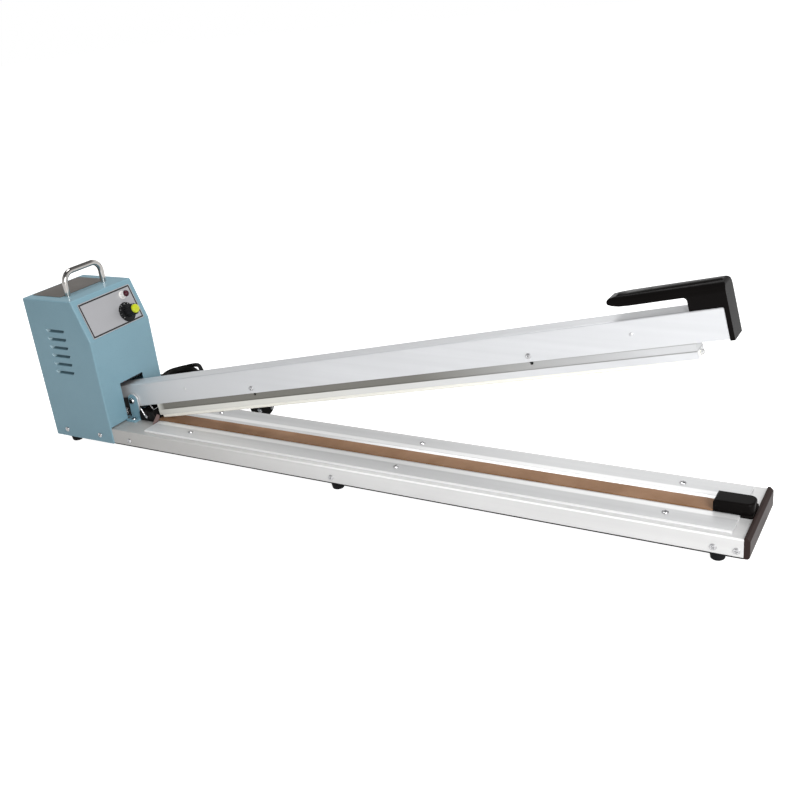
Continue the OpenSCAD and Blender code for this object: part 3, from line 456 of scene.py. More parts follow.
finish("bright_steel", (0.60, 0.60, 0.61), 0.22, 1.0, drift=0.15, scale=700.0)
finish("chrome_rod", (0.52, 0.50, 0.48), 0.06, 1.0, drift=0.1, rough_drift=0.05, bump=0.02,
       scale=300.0)
finish("spring_steel", (0.52, 0.52, 0.54), 0.3, 1.0, drift=0.15, scale=600.0)
finish("black_plate", (0.008, 0.008, 0.009), 0.6, bump=0.1, scale=700.0, specular=0.1)
finish("ribbon_metal", (0.42, 0.40, 0.38), 0.35, 1.0, bump=0.1, lines=0.8)
finish("terminal_brass", (0.72, 0.50, 0.20), 0.3, 1.0, scale=500.0)
finish("core_steel", (0.10, 0.10, 0.11), 0.45, 0.6, drift=0.3, bump=0.2, scale=300.0)
finish("dial_metal", (0.38, 0.39, 0.40), 0.35, 1.0, drift=0.15)
print(len(finish_of), "metal finishes")

# %% [markdown]
# ### Plastics, rubber and the rest
#
# The handle and the end cover are glossy and almost black. Feet and cord are duller, and the
# silicone is cream. Small inner pieces get the plain finish of their kind.

# %% Plastics and rubber
finish("handle_plastic", (0.006, 0.0052, 0.005), 0.16, drift=0.3, rough_drift=0.08, scale=500.0,
       specular=0.11, ior=1.25)
finish("cap_plastic", (0.034, 0.023, 0.021), 0.3, drift=0.3, bump=0.12, scale=700.0,
       specular=0.12, ior=1.25)
finish("knob_plastic", (0.007, 0.007, 0.008), 0.34, bump=0.1, scale=900.0, specular=0.16)
finish("cap_yellow", (0.52, 0.58, 0.012), 0.25, drift=0.08, bump=0.03, coat=0.3)
finish("lamp_white", (0.82, 0.81, 0.79), 0.22, drift=0.05, bump=0.02, coat=0.3)
finish("lamp_red", (0.05, 0.002, 0.010), 0.2, bump=0.02, specular=0.3)
finish("foot_rubber", (0.008, 0.008, 0.009), 0.62, drift=0.3, bump=0.2, scale=600.0, specular=0.12)
finish("strip_silicone", (1.0, 0.99, 0.91), 0.5, drift=0.04, bump=0.08, scale=500.0)
finish("bakelite", (0.008, 0.007, 0.007), 0.34, drift=0.3, bump=0.15, scale=500.0,
       speck_colour=(0.04, 0.03, 0.025), specular=0.12)
finish("washer_nylon", (0.70, 0.70, 0.64), 0.45, drift=0.05)
finish("coil_copper", (0.55, 0.27, 0.07), 0.35, bump=0.2, lines=1.0)
finish("board_green", (0.02, 0.12, 0.04), 0.35, bump=0.1, scale=300.0,
       speck_colour=(0.5, 0.45, 0.3))
finish("relay_blue", (0.03, 0.09, 0.3), 0.35, drift=0.1)
finish("switch_black", (0.014, 0.014, 0.016), 0.5, bump=0.1)
finish("plunger_red", (0.42, 0.02, 0.015), 0.35, drift=0.1)
finish("cord_pvc", (0.005, 0.005, 0.0045), 0.5, drift=0.25, bump=0.12, scale=500.0, specular=0.08)
finish("tie_black", (0.010, 0.010, 0.011), 0.55, bump=0.1, specular=0.2)
finish("tape_brown", (0.19, 0.125, 0.12), 0.5, bump=0.1)
finish("print_black", (0.012, 0.012, 0.012), 0.5, drift=0.1)
finish("print_white", (0.75, 0.75, 0.74), 0.5, drift=0.05)
print(len(finish_of), "finishes")

# %% [markdown]
# ### Woven glass cloth
#
# The sealing cloth is glass cloth soaked in PTFE: brown, faintly woven and a little shiny, with
# paler rubbed places. Two wave textures at right angles are its threads, and the larger of both is
# the height. The bed strip below it is plain woven glass.

# %% Woven finishes
thread_scale, weave_depth = 420.0, 0.0001


def woven(slot, colour, rubbed, roughness):
    tree, shader, place = new_material(slot)
    shader.inputs["Specular IOR Level"].default_value = 0.25
    along, across = [add(tree, "TexWave", {"Vector": place}, bands_direction=axis,
                         Scale=thread_scale, Distortion=0.6).outputs["Fac"] for axis in "XY"]
    weave = maths(tree, "MAXIMUM", along, across)
    grime = add(tree, "Group", {"Vector": place}, node_tree=grime_group, Scale=22.0)
    blotch = grime.outputs["Blotch"]
    shaded = vectors(tree, "MULTIPLY", mixed(tree, blotch, colour, rubbed),
                     ramp(tree, weave, to=(0.86, 1.04)))
    rough = ramp(tree, blotch, to=(roughness, roughness + 0.15))
    surface(tree, shader, shaded, rough, weave, 0.25, weave_depth)


woven("sealing_cloth", (0.245, 0.128, 0.062), (0.335, 0.195, 0.115), 0.45)
woven("bed_glass", (0.62, 0.54, 0.38), (0.70, 0.62, 0.46), 0.6)
print(len(finish_of), "finishes with the two woven ones")

# %% [markdown]
# ### Painted shade and highlights in their places
#
# Each row tints one finish inside a soft box. The box is in the machine's millimetres, in the arm's
# own upright ones, or in mirrored ones that are the same on both sides of the middle.

# %% Painted shade and highlights
def object_place(tree, view):
    place = add(tree, "TexCoord").outputs["Object"]
    if view == "arm":
        return add(tree, "Mapping", {"Vector": place}, vector_type="TEXTURE", Location=pivot * MM,
                   Rotation=(0, -arm_open, 0)).outputs[0]
    if view == "mirrored":
        return vectors(tree, "ABSOLUTE", place)
    return place


def recolour(tree, amount, colour):
    target = tree.nodes["Principled BSDF"].inputs["Base Color"]
    tree.links.new(mixed(tree, amount, target.links[0].from_socket, colour), target)


WHITE = (1, 1, 1)
for slot, view, centre, half, blur, colour, strength in [
        # Painted shade: the runner and the arm darken toward the hinge, and the arm's tail gets a
        # painted shadow where it lies in the casing's slot.
        ("bar_aluminium", "arm", (43, 0, 0), (420, None, None), 220, (0.76, 0.75, 0.70), 0.95),
        ("arm_aluminium", "arm", (43, 0, 0), (200, None, None), 180, (0.62, 0.63, 0.645), 0.9),
        ("arm_aluminium", "arm", (-57, 0, -44), (50.5, None, 50), 1.5, (0.02, 0.018, 0.016), 0.93),
        # Painted shade: steel parts inside the casing and the pin's hollow ends are darkened.
        ("bright_steel", "machine", (casing_mid, 0, 120), (59.8, 56, 200), 0.3,
         (0.02, 0.02, 0.022), 1.0),
        ("bright_steel", "machine", pivot, (3.1, None, 3.1), 0.2, (0.03, 0.03, 0.03), 1.0),
        # Painted shade inside the louvres, and a painted highlight on their left ends.
        ("painted_steel", "machine", (front_x - 60.5, 0, 155), (20, 58.6, 45), 0.9,
         (0.10, 0.175, 0.215), 1.0),
        ("painted_steel", "machine", (front_x - 85, 0, 155), (3.2, 59.75, 45), 0.15,
         (0.42, 0.58, 0.64), 1.0),
        # Painted highlights on the clamp plates beside the cloth, on their outer edges and on the
        # deck's corners.
        ("plate_aluminium", "mirrored", (0, 22.3, 38), (None, 4.2, 2), 1.3, WHITE, 0.9),
        ("plate_aluminium", "mirrored", (0, 51, 38), (None, 1, 2), 0.2, WHITE, 1.0),
        ("base_aluminium", "mirrored", (0, 58.5, 35.5), (None, 1.3, 1.6), 0.3, WHITE, 0.9),
        # Painted shade: the base is darker beside the casing.
        ("base_aluminium", "machine", (-420, 0, 0), (260, None, None), 200,
         (0.45, 0.44, 0.425), 0.95)]:
    tree = finish_of[slot].node_tree
    mask = box_mask(tree, object_place(tree, view), centre, half, blur)
    recolour(tree, ramp(tree, mask, to=(0.0, strength)), colour)
print(len(finish_of["arm_aluminium"].node_tree.nodes), "nodes in the arm's finish")

# %% [markdown]
# ### Painted shade on the runner
#
# The runner slides in the arm. Painted shade darkens its sides below the arm's edge near the hinge,
# and they are less metallic there. The band fades toward the free end, and two thin lines of
# painted shadow run all along. Numbers here are metres in the arm's own frame.

# %% Painted shade on the runner
tree = finish_of["bar_aluminium"].node_tree
upright = add(tree, "SeparateXYZ", {0: object_place(tree, "arm")}).outputs
band = ramp(tree, upright["Z"], (-0.0206, -0.0202))
upper = ramp(tree, upright["Z"], (-0.0198, -0.0188))
edge = ramp(tree, upright["Z"], (-0.0125, -0.0115))
shadow_lines = maths(tree, "ADD", maths(tree, "SUBTRACT", band, upper), edge)
fade = ramp(tree, upright["X"], (0.5, 0.8), (0.88, 0.15))
runner_shade = maths(tree, "MAXIMUM", maths(tree, "MULTIPLY", band, fade),
             maths(tree, "MULTIPLY", shadow_lines, 0.5))
runner_shade = maths(tree, "MULTIPLY", runner_shade, ramp(tree, upright["X"], (0.046, 0.056)))
# Painted shade on the runner's sides, darkest near the hinge.
recolour(tree, runner_shade, (0.12, 0.115, 0.095))
metallic = tree.nodes["Principled BSDF"].inputs["Metallic"]
tree.links.new(ramp(tree, runner_shade, to=(0.5, 0.1)), metallic)
print(len(tree.nodes), "nodes in the runner's finish")

# %% [markdown]
# ## The finish of every CAD node
#
# The record names a material slot for each node, and every node gets its slot's finish here, also
# those that a new piece replaces further on.

# %% Dress the CAD nodes
slot_of = {row["node"]: row["material_slot"] for row in frame["record"]["subparts"]}
for name, node in frame["nodes"].items():
    node.data.materials.clear()
    node.data.materials.append(finish_of[slot_of[name]])
print(len(slot_of), "nodes dressed")

# %% [markdown]
# ## The cord
#
# The mains lead leaves the rear wall through a tapered relief, drops to the ground and runs behind
# the machine, where it is tied in a hank with its plug beside it. The hank's turns are laid as a
# hand lays them: the outer turn, the inner turn, up a layer over the far bend, and one on top.

# %% Route of the cord
cord_radius, gland_y, gland_z = 3.5, 45, 57
lead_in = [
    (-33, 45, 57), (-41.5, 45, 55.5), (-52.5, 46, 51), (-61.5, 49, 43), (-67.5, 54, 33),
    (-73.5, 61, 23), (-79.5, 71, 14), (-84.5, 83, 8), (-88.5, 97, 5), (-88.4, 108.4, 3.6),
    (-85.6, 119.3, 3.6), (-80.4, 129.9, 3.6), (-73.2, 140.2, 3.6), (-64.5, 150.5, 3.6),
    (-54.5, 160.7, 3.6), (-43.6, 171.2, 3.6), (-32.1, 182, 3.7), (-20.6, 193.2, 3.9),
    (-9.2, 205, 4.2)]
lead_out = [
    (108.2, 171.1, 17.4), (117, 166.7, 14.8), (126.3, 163.4, 11.2), (136, 161, 7.6),
    (146, 159.2, 5), (156.3, 157.9, 3.9), (166.8, 156.6, 3.8), (177.4, 155.3, 4.8),
    (188, 153.5, 7), (198.6, 151.2, 10.2), (209.1, 147.9, 14), (219.4, 143.4, 17.2),
    (229.5, 137.5, 18.5)]
lead_in, lead_out = [[(rear_x + x, y, z) for x, y, z in part] for part in (lead_in, lead_out)]
hank_place = moved(rear_x + 52.5, 176, 0) @ turned(-40)
half_run, wide, narrow, low, high, top = 35.0, 31.5, 24.5, 4.3, 11.3, 18.3


def eased(steps, r0, r1, z0, z1):
    """For each step but the last: how far along it is, and its radius and height."""
    for t in [i / steps for i in range(steps)]:
        ease = t * t * (3 - 2 * t)
        yield t, r0 + (r1 - r0) * ease, z0 + (z1 - z0) * ease


def bend(centre, start, end, steps, *levels):
    """Points of an arc about (centre, 0)."""
    return [(centre + r * math.cos(math.radians(start + (end - start) * t)),
             r * math.sin(math.radians(start + (end - start) * t)), z)
            for t, r, z in eased(steps, *levels)]


def run(x0, x1, side, *levels):
    return [(x0 + (x1 - x0) * t, side * r, z) for t, r, z in eased(5, *levels)]


def hank_turn(r_a, r_b, r_c, z_a, z_b, z_c):
    """A turn: left bend, upper run from a to b, right bend from b to c in height, lower run."""
    return (bend(-half_run, 180, 90, 4, r_a, r_a, z_a, z_a)
            + run(-half_run, half_run, 1, r_a, r_b, z_a, z_b)
            + bend(half_run, 90, -90, 9, r_b, r_b, z_b, z_c)
            + run(half_run, -half_run, -1, r_b, r_c, z_c, z_c)
            + bend(-half_run, 270, 180, 4, r_c, r_c, z_c, z_c))


turns = (hank_turn(wide, wide, narrow, low, low, low)
         + hank_turn(narrow, narrow, narrow, low, low, high)
         + hank_turn(narrow, wide, wide, high, high, high)
         + bend(-half_run, 180, 90, 4, wide, wide, high, top)
         + run(-half_run, half_run, 1, wide, wide, top, top) + [(half_run, wide, top)])
route = lead_in + [tuple(hank_place @ Vector(p)) for p in turns] + lead_out
print(len(route), "points on the cord's route")

# %% [markdown]
# ### The cord as one curve
#
# A Bezier curve runs through the route, and its bevel depth is the cord's radius.

# %% The cord as one curve
cord_curve = bpy.data.curves.new("cord", "CURVE")
cord_curve.dimensions = "3D"
cord_curve.bevel_depth = cord_radius * MM
cord_curve.bevel_resolution = 4
cord_curve.resolution_u = 6
spline = cord_curve.splines.new("BEZIER")
spline.bezier_points.add(len(route) - 1)
for knot, point in zip(spline.bezier_points, route):
    knot.co = Vector(point) * MM
    knot.handle_left_type = knot.handle_right_type = "AUTO"
cord = show("mains_lead", cord_curve)
cord.data.materials.append(finish_of["cord_pvc"])
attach(cord, "base")
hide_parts("power_cord", "cord_hank", "cord_tail")

# %% [markdown]
# ### Relief and plug
#
# The relief is a ribbed taper that keeps the lead from kinking at the wall. The plug is a round
# moulding with a waist for the fingers and two nickel pins. Both are turned and laid in place.

# %% Relief and plug
relief_profile = [(0, -7.9), (6.9, -7.9), (6.9, 0), (8.7, 0), (9, 0.3), (9, 2.4), (8.4, 3)]
for i in range(7):
    taper, rise = 6.0 - 0.22 * i, 4.2 * i
    relief_profile += [(taper, 3.6 + rise), (taper, 6.4 + rise), (taper - 0.9, 6.8 + rise),
                       (taper - 0.9, 7.5 + rise)]
relief_profile += [(4.3, 32.8), (0, 32.8)]
relief = put(turn(relief_profile), facing(rear_x, gland_y, gland_z, "Y", -90))
gland_piece = piece(relief, "cord_relief", "base", "handle_plastic", ["cord_gland"])

plug_place = moved(*lead_out[-1]) @ turned(-34) @ turned(90, "Y")
plug_profile = [(0, 0), (4.2, 0)]
for i in range(4):
    wider, rise = 0.4 * i, 4.6 * i
    plug_profile += [(4.6 + wider, 1 + rise), (4.8 + wider, 4.2 + rise), (4.2 + wider, 4.6 + rise),
                     (4.2 + wider, 5.2 + rise)]
plug_profile += [(6.6, 20), (9.5, 22.2), (11, 24.5), (11.6, 29), (12.6, 33), (15, 37.2),
                 (17.4, 39.4), (18.3, 40.6), (18.5, 42), (18.5, 47), (18.1, 48.4), (17.2, 49),
                 (0, 49)]
plug_piece = piece(put(turn(plug_profile, 40), plug_place), "plug_body", "base", "cord_pvc",
                   ["mains_plug"])
pin_profile = [(0, 57), (2.4, 57), (2.4, 64.6), (2.2, 65.8), (1.5, 67), (0.6, 67.8), (0, 68)]
sleeve_profile = [(0, 48), (2.5, 48), (2.5, 57.5), (2.2, 57.9), (0, 57.9)]
pins, sleeves = [[put(turn(profile, 16), plug_place @ moved(0, y, 0)) for y in (-9.5, 9.5)]
                 for profile in (pin_profile, sleeve_profile)]
plug_pins = piece(join(pins), "plug_pins", "base", "dial_metal")
plug_sleeves = piece(join(sleeves), "plug_sleeves", "base", "cord_pvc")

# %% [markdown]
# ## The casing
#
# The casing is folded sheet steel. A prism is pulled from its side outline and its edges are
# rounded. Its bottom is open, and so are the mouth for the base and the slot for the arm in front.
# The side walls are then laid again, each as one flat face filled round six holes.

# %% Casing walls
case_y, panel_top = 60.0, panel_z + panel_rise
mouth_half, mouth_top, slot_half, slot_top = 58.8, 37, 23.5, 94
outer_radius, sheet_thickness = 2.0, 1.2
louvres, louvre_mid, louvre_top, louvre_pitch = 6, front_x - 67.76, 120.8, 12.9
louvre_r, louvre_half, lip = 4.4, 14.2, 0.9
walls = outline([(rear_x, -case_y, ground_gap), (front_x, -case_y, ground_gap),
                 (front_x, -case_y, panel_z), (front_x - panel_depth, -case_y, panel_top),
                 (rear_x, -case_y, panel_top)])
pull(walls, (0, 2 * case_y, 0))
round_off(walls, [e for e in walls.edges if max(v.co.z for v in e.verts) > ground_gap + 1],
          outer_radius, 4)
cuts = [((0, y, 0), (0, 1, 0)) for y in (-mouth_half, -slot_half, slot_half, mouth_half)]
for place, normal in cuts + [((0, 0, z), (0, 0, 1)) for z in (mouth_top, slot_top)]:
    front = [f for f in walls.faces if f.normal.x > 0.999]
    near = {e for f in front for e in f.edges} | {v for f in front for v in f.verts}
    bmesh.ops.bisect_plane(walls, geom=front + list(near), dist=0.001, plane_co=place,
                           plane_no=normal)


def is_open(face):
    c = face.calc_center_median()
    in_front = c.x > front_x - 0.01
    in_mouth = abs(c.y) < mouth_half and c.z < mouth_top
    in_slot = abs(c.y) < slot_half and c.z < slot_top
    return c.z < ground_gap + 0.01 or in_front and (in_mouth or in_slot)


def lower_edge(radius):
    """The lower edge of a louvre's mouth, from its left end to its right end, in X and Z."""
    angles = [math.radians(90 - 15 * i) for i in range(7)]
    left = [(-louvre_half - radius * math.sin(a), -radius * math.cos(a)) for a in angles]
    return left + [(-x, z) for x, z in reversed(left)]


bmesh.ops.delete(walls, geom=[f for f in walls.faces if is_open(f)], context="FACES")
for side in (-1, 1):
    wall = max((f for f in walls.faces if f.normal.y * side > 0.999), key=lambda f: f.calc_area())
    rim = wall.edges[:]
    bmesh.ops.delete(walls, geom=[wall], context="FACES_ONLY")
    for i in range(louvres):
        height = louvre_top + i * louvre_pitch
        ring = [walls.verts.new((louvre_mid + x, side * case_y, height + z))
                for x, z in lower_edge(louvre_r + lip)]
        rim += [walls.edges.new(pair) for pair in zip(ring, ring[1:] + ring[:1])]
    bmesh.ops.triangle_fill(walls, use_beauty=True, use_dissolve=False, edges=rim,
                            normal=(0, side, 0))
print("casing walls:", len(walls.faces), "faces")

# %% [markdown]
# ### Louvres
#
# A quarter-round pocket closes each hole from inside and is open at its top: an arc is spun for one
# end, pulled along, and spun again for the other end. A rounded lip joins the pocket to the wall.
# A Solidify modifier then gives the whole sheet its thickness.

# %% Louvres
def louvre(z):
    """A pocket with round ends behind the near wall, with its lip."""
    bm = bmesh.new()
    start, inside_y = louvre_mid - louvre_half, -case_y + lip
    spin = {"axis": (0, 0, 1), "dvec": (0, 0, 0), "angle": math.radians(-90), "steps": 6,
            "use_merge": False}
    points = [bm.verts.new((start - louvre_r * math.sin(a), inside_y, z - louvre_r * math.cos(a)))
              for a in [math.radians(15 * i) for i in range(7)]]
    ring = points + [bm.edges.new(pair) for pair in zip(points, points[1:])]
    spun = bmesh.ops.spin(bm, geom=ring, cent=(start, inside_y, z), **spin)["geom_last"]
    edges = [g for g in spun if isinstance(g, bmesh.types.BMEdge)]
    pulled = bmesh.ops.extrude_edge_only(bm, edges=edges)["geom"]
    far = [g for g in pulled if isinstance(g, bmesh.types.BMVert)]
    bmesh.ops.translate(bm, vec=(2 * louvre_half, 0, 0), verts=far)
    last = far + [g for g in pulled if isinstance(g, bmesh.types.BMEdge)
                  and all(v in far for v in g.verts)]
    bmesh.ops.spin(bm, geom=last, cent=(louvre_mid + louvre_half, inside_y, z), **spin)
    rows = []
    for a in [math.radians(30 * i) for i in range(4)]:
        rows.append([bm.verts.new((louvre_mid + x, -case_y + lip * (1 - math.cos(a)), z + up))
                     for x, up in lower_edge(louvre_r + lip * (1 - math.sin(a)))])
    for outer, inner in zip(rows, rows[1:]):
        for i in range(len(outer) - 1):
            bm.faces.new((outer[i], outer[i + 1], inner[i + 1], inner[i]))
    bmesh.ops.remove_doubles(bm, verts=bm.verts, dist=0.001)
    bmesh.ops.recalc_face_normals(bm, faces=bm.faces)
    if sum(f.normal.z * f.calc_area() for f in bm.faces) < 0:
        bmesh.ops.reverse_faces(bm, faces=bm.faces)
    return bm


pockets = join([louvre(louvre_top + i * louvre_pitch) for i in range(louvres)])
far_pockets = pockets.copy()
bmesh.ops.scale(far_pockets, vec=(1, -1, 1), verts=far_pockets.verts)
bmesh.ops.reverse_faces(far_pockets, faces=far_pockets.faces)
shell = join([walls, pockets, far_pockets])
bmesh.ops.remove_doubles(shell, verts=shell.verts, dist=0.01)
casing = piece(shell, "casing_shell", "base", "painted_steel", ["casing_cover"], 28)
sheet = casing.modifiers.new("sheet thickness", "SOLIDIFY")
sheet.thickness = sheet_thickness * MM
sheet.offset = -1
even_shading(casing)

# %% [markdown]
# ## Screws and rivets
#
# The screws are pan heads with a tapered cross cut from them, each turned its own way. Rivets and
# guide screws sit in the arm's sides.

# %% Screws
pan_r = 3.8


def cross_screw(radius):
    k = radius / pan_r
    head = turn([(0, -2.8), (1.9, -2.8), (1.9, 0), (3.8 * k, 0), (3.8 * k, 0.5 * k),
                 (3.5 * k, 1.1 * k), (2.7 * k, 1.55 * k), (1.4 * k, 1.85 * k), (0, 1.95 * k)], 28)
    a, b = 0.5 * k, 2.3 * k
    cross = outline([(x, y, 0.7 * k) for x, y in [
        (a, a), (b, a), (b, -a), (a, -a), (a, -b), (-a, -b), (-a, -a), (-b, -a), (-b, a), (-a, a),
        (-a, b), (a, b)]])
    pull(cross, (0, 0, 3))
    for corner in cross.verts:
        if corner.co.z < k:
            corner.co.x *= 0.75
            corner.co.y *= 0.75
    return carved(head, cross)


def screws(places, name, stands_for):
    """Places a screw at each matrix, each turned a little further."""
    copies = [put(cross_screw(pan_r), place @ turned(25 + 50 * i))
              for i, place in enumerate(places)]
    piece(join(copies), name, "base", "bright_steel", [stands_for], 30)


plate_x0, plate_x1 = front_x + 59, base_end - 13.5
plate_length = plate_x1 - plate_x0
screws([facing(x, side * case_y, 23, "X", -90 * side) for side in (-1, 1)
        for x in (rear_x + 26.5, front_x - 25.3)], "casing_cross_screws", "casing_screws")
screws([facing(x, side * 58.5, 20.5, "X", -90 * side) for side in (-1, 1)
        for x in (front_x + 32, -5.75, base_end - 31, base_end - 7)],
       "base_cross_screws", "base_screws")
screws([facing(plate_x0 + share * plate_length, y, plate_z) for y in (-35, 35)
        for share in (0.09, 0.5, 0.91)], "clamp_cross_screws", "clamp_screws")
screws([facing(front_x + 12, y, flange_z) for y in (-22.8, 22.8)],
       "bracket_cross_screws", "bracket_screws")

guides, rivets = [], []
for share in (0.2417, 0.767):
    u = arm_start + arm_length * share
    rod = put(turn([(0, -14), (2, -14), (2, 14), (0, 14)], 20), facing(u, 0, -3, "X", 90))
    heads = [put(cross_screw(3.4), facing(u, side * 14.05, -3, "X", -90 * side))
             for side in (-1, 1)]
    guides.append(put(join([rod] + heads), on_arm))
piece(join(guides), "arm_guide_screws", "arm", "bright_steel", ["guide_screws"], 30)
for share in (0.088, 0.9207):
    for side in (-1, 1):
        dome = turn([(0, 0), (2.1, 0), (2.0, 0.3), (1.5, 0.7), (0.8, 0.92), (0, 1)], 20)
        spot = facing(arm_start + arm_length * share, side * 14, 7.7, "X", -90 * side)
        rivets.append(put(dome, on_arm @ spot))
piece(join(rivets), "arm_rivet_heads", "arm", "plate_aluminium", ["arm_rivets"], 30)

# %% [markdown]
# ## The control panel
#
# The silver plate has a black border line near its edge. The knob has a wide skirt, a fluted body
# and a yellow-green cap. All are built upright and laid on the panel.

# %% Border line and knob
knob_place = on_panel @ moved(0, 25.7, 19.2) @ turned(90, "Y") @ turned(90)
flutes, flute_depth, grip_r = 12, 0.75, 8.5
strips = [block((0.8, y0, z0), (0.86, y1, z1)) for y0, y1, z0, z1 in [
    (-50, 50, 3.6, 5.8), (-50, 50, 52.8, 55), (-50, -47.8, 5.8, 52.8), (47.8, 50, 5.8, 52.8)]]
piece(put(join(strips), on_panel), "panel_border", "base", "print_black")

skirt = turn([(0, 0.6), (6, 0.6), (6.2, 0), (14.6, 0), (14.9, 0.3), (14.9, 1.1), (14.5, 1.6),
              (9.6, 2.7), (8.8, 3.0), (0, 3.0)], 48)
fluted = []
for a in [2 * math.pi * i / 96 for i in range(96)]:
    r = grip_r - flute_depth * (0.5 + 0.5 * math.cos(flutes * a)) ** 3
    fluted.append((r * math.cos(a), r * math.sin(a), 2.8))
grip = pull(outline(fluted), (0, 0, 16.2))
round_off(grip, edges_above(grip.edges, 18.9), 0.5, 2)
piece(put(join([skirt, grip]), knob_place), "knob_body", "knob", "knob_plastic", ["timer_knob"], 30)
yellow = turn([(0, 17.5), (6.5, 17.5), (6.5, 21.4), (6.2, 22.0), (5.3, 22.4), (2.5, 22.6),
               (0, 22.65)], 40)
piece(put(yellow, knob_place), "knob_top", "knob", "cap_yellow", ["knob_cap"])

# %% [markdown]
# ### Marks and numbers of the knob
#
# The numbers 0 to 8 stand round the skirt's slope, with a mark at each and one between. Blender's
# text becomes a thin mesh, so no picture is needed. A last mark is on the grip's rim.

# %% Marks and numbers of the knob
def number(text, size):
    curve = bpy.data.curves.new("number", "FONT")
    curve.body, curve.size, curve.extrude = text, size, 0.05
    curve.align_x, curve.align_y, curve.resolution_u = "CENTER", "CENTER", 3
    obj = show("number", curve)
    bm = solved(obj)
    bpy.data.objects.remove(obj)
    bpy.data.curves.remove(curve)
    return bm


marks = []
first_mark, number_step, tick_step = 120, 30, 15
slope = Matrix.Rotation(math.atan2(1.1, 4.9), 4, "X")
for i in range(9):
    spot = turned(first_mark - number_step * i) @ moved(0, 11.9, 2.22) @ slope
    marks.append(put(number(str(i), 3.1), spot))
for i in range(17):
    spot = turned(first_mark - tick_step * i) @ moved(0, 13.9, 1.78) @ slope
    marks.append(put(block((-0.15, -0.45, -0.05), (0.15, 0.45, 0.05)), spot))
marks.append(block((-0.35, 6.7, 18.9), (0.35, 7.7, 19.06)))
piece(put(join(marks), knob_place), "knob_marks", "knob", "print_white")

# %% [markdown]
# ## The arm's handle
#
# The handle is one moulding, with a thin nose and a wall over the arm's end. Its side outline and
# its crowned cross-section are pulled into two prisms, and what both share is the handle.

# %% Arm handle
tip, low, heel, end = 760.0, 39.0, 844.5, 879.0
nose = arc(tip + 3.2, low + 6, 3.2, 80, 235, 8)
underside = [(tip + 6, low + 1.6), (tip + 13, low + 0.2), (tip + 24, low - 0.3)]
throat = arc(heel - 4, low - 4.2, 4, 90, 0, 4)
end_wall = [(heel, 24.05), (end + 0.05, 24.05), (end + 0.05, -11.5), (end + 5, -11.5)]
corner = arc(end - 1, 45, 6, 0, 90, 6)
back = [(heel - 10, 51), (tip + 50, 50.6), (tip + 22, 50), (tip + 9, 49.1)]
side_line = nose + underside + throat + end_wall + corner + back
crown_line = ([(-14.5, -13), (14.5, -13)] + arc(1.5, 38, 13, 0, 90, 12)
              + arc(-1.5, 38, 13, 90, 180, 12))
crown = pull(outline([(tip - 5, y, z) for y, z in crown_line]), (140, 0, 0))
handle = carved(side_prism(side_line, -20, 20), crown, "INTERSECT")
bmesh.ops.remove_doubles(handle, verts=handle.verts, dist=0.01)
grip = piece(put(handle, on_arm), "arm_grip", "arm", "handle_plastic", ["arm_handle"], 30)
soften(grip, 0.9, 38)

# %% [markdown]
# ## End cover and end cap
#
# Two more mouldings close the free end: a glossy cover on a flat foot over the ribbon's terminal,
# and a thin cap over the base's open end. The black bottom plate shows as a thin edge all along.

# %% End cover and end cap
def rounded_plan(x0, x1, half, radius, steps, z):
    """A flat outline from x0 to x1 with rounded corners at x1."""
    corners = (arc(x1 - radius, radius - half, radius, -90, 0, steps)
               + arc(x1 - radius, half - radius, radius, 0, 90, steps))
    return outline([(x, y, z) for x, y in [(x0, -half)] + corners + [(x0, half)]])


cover_end, cover_height, foot_height, base_half = base_end - 0.3, 14.5, 3, 58.5
cover = pull(rounded_plan(base_end - 43, cover_end, 12, 8, 6, deck_z), (0, 0, cover_height))
round_off(cover, edges_above(cover.edges, deck_z + cover_height - 0.1), 2.6, 5)
cover_foot = rounded_plan(plate_x1 + 0.3, cover_end, 16, 3, 4, deck_z)
pull(cover_foot, (0, 0, foot_height))
round_off(cover_foot, edges_above(cover_foot.edges, deck_z + foot_height - 0.1), 0.7, 3)
even_shading(piece(join([cover, cover_foot]), "end_cover_moulding", "base", "handle_plastic",
                   ["end_cover"]))

cap_side = ([(base_end, ground_gap)] + arc(base_end + 2.6, 15.9, 3.9, 270, 360, 6)
            + [(base_end + 6.5, 33.9), (base_end + 3.1, 37.5), (base_end, 37.5)])
cap = side_prism(cap_side, -base_half, base_half)
outer = [e for e in sharp_edges(cap, 30) if max(v.co.x for v in e.verts) > base_end + 1
         or all(v.co.z > 37 for v in e.verts)]
round_off(cap, outer, 0.7, 3)
even_shading(piece(cap, "end_cap_moulding", "base", "cap_plastic", ["base_end_cap"]))

edges = [block((rear_x + 2, y - 0.5, ground_gap), (base_end, y + 0.5, 13.1))
         for y in (-57.9, 57.9)]
piece(join(edges), "bottom_plate_edges", "base", "black_plate")

# %% [markdown]
# ## The hinge
#
# Two painted ears with foot flanges carry the pin. Their sawn edges are bare and shine. The pin's
# two heads are hollow.

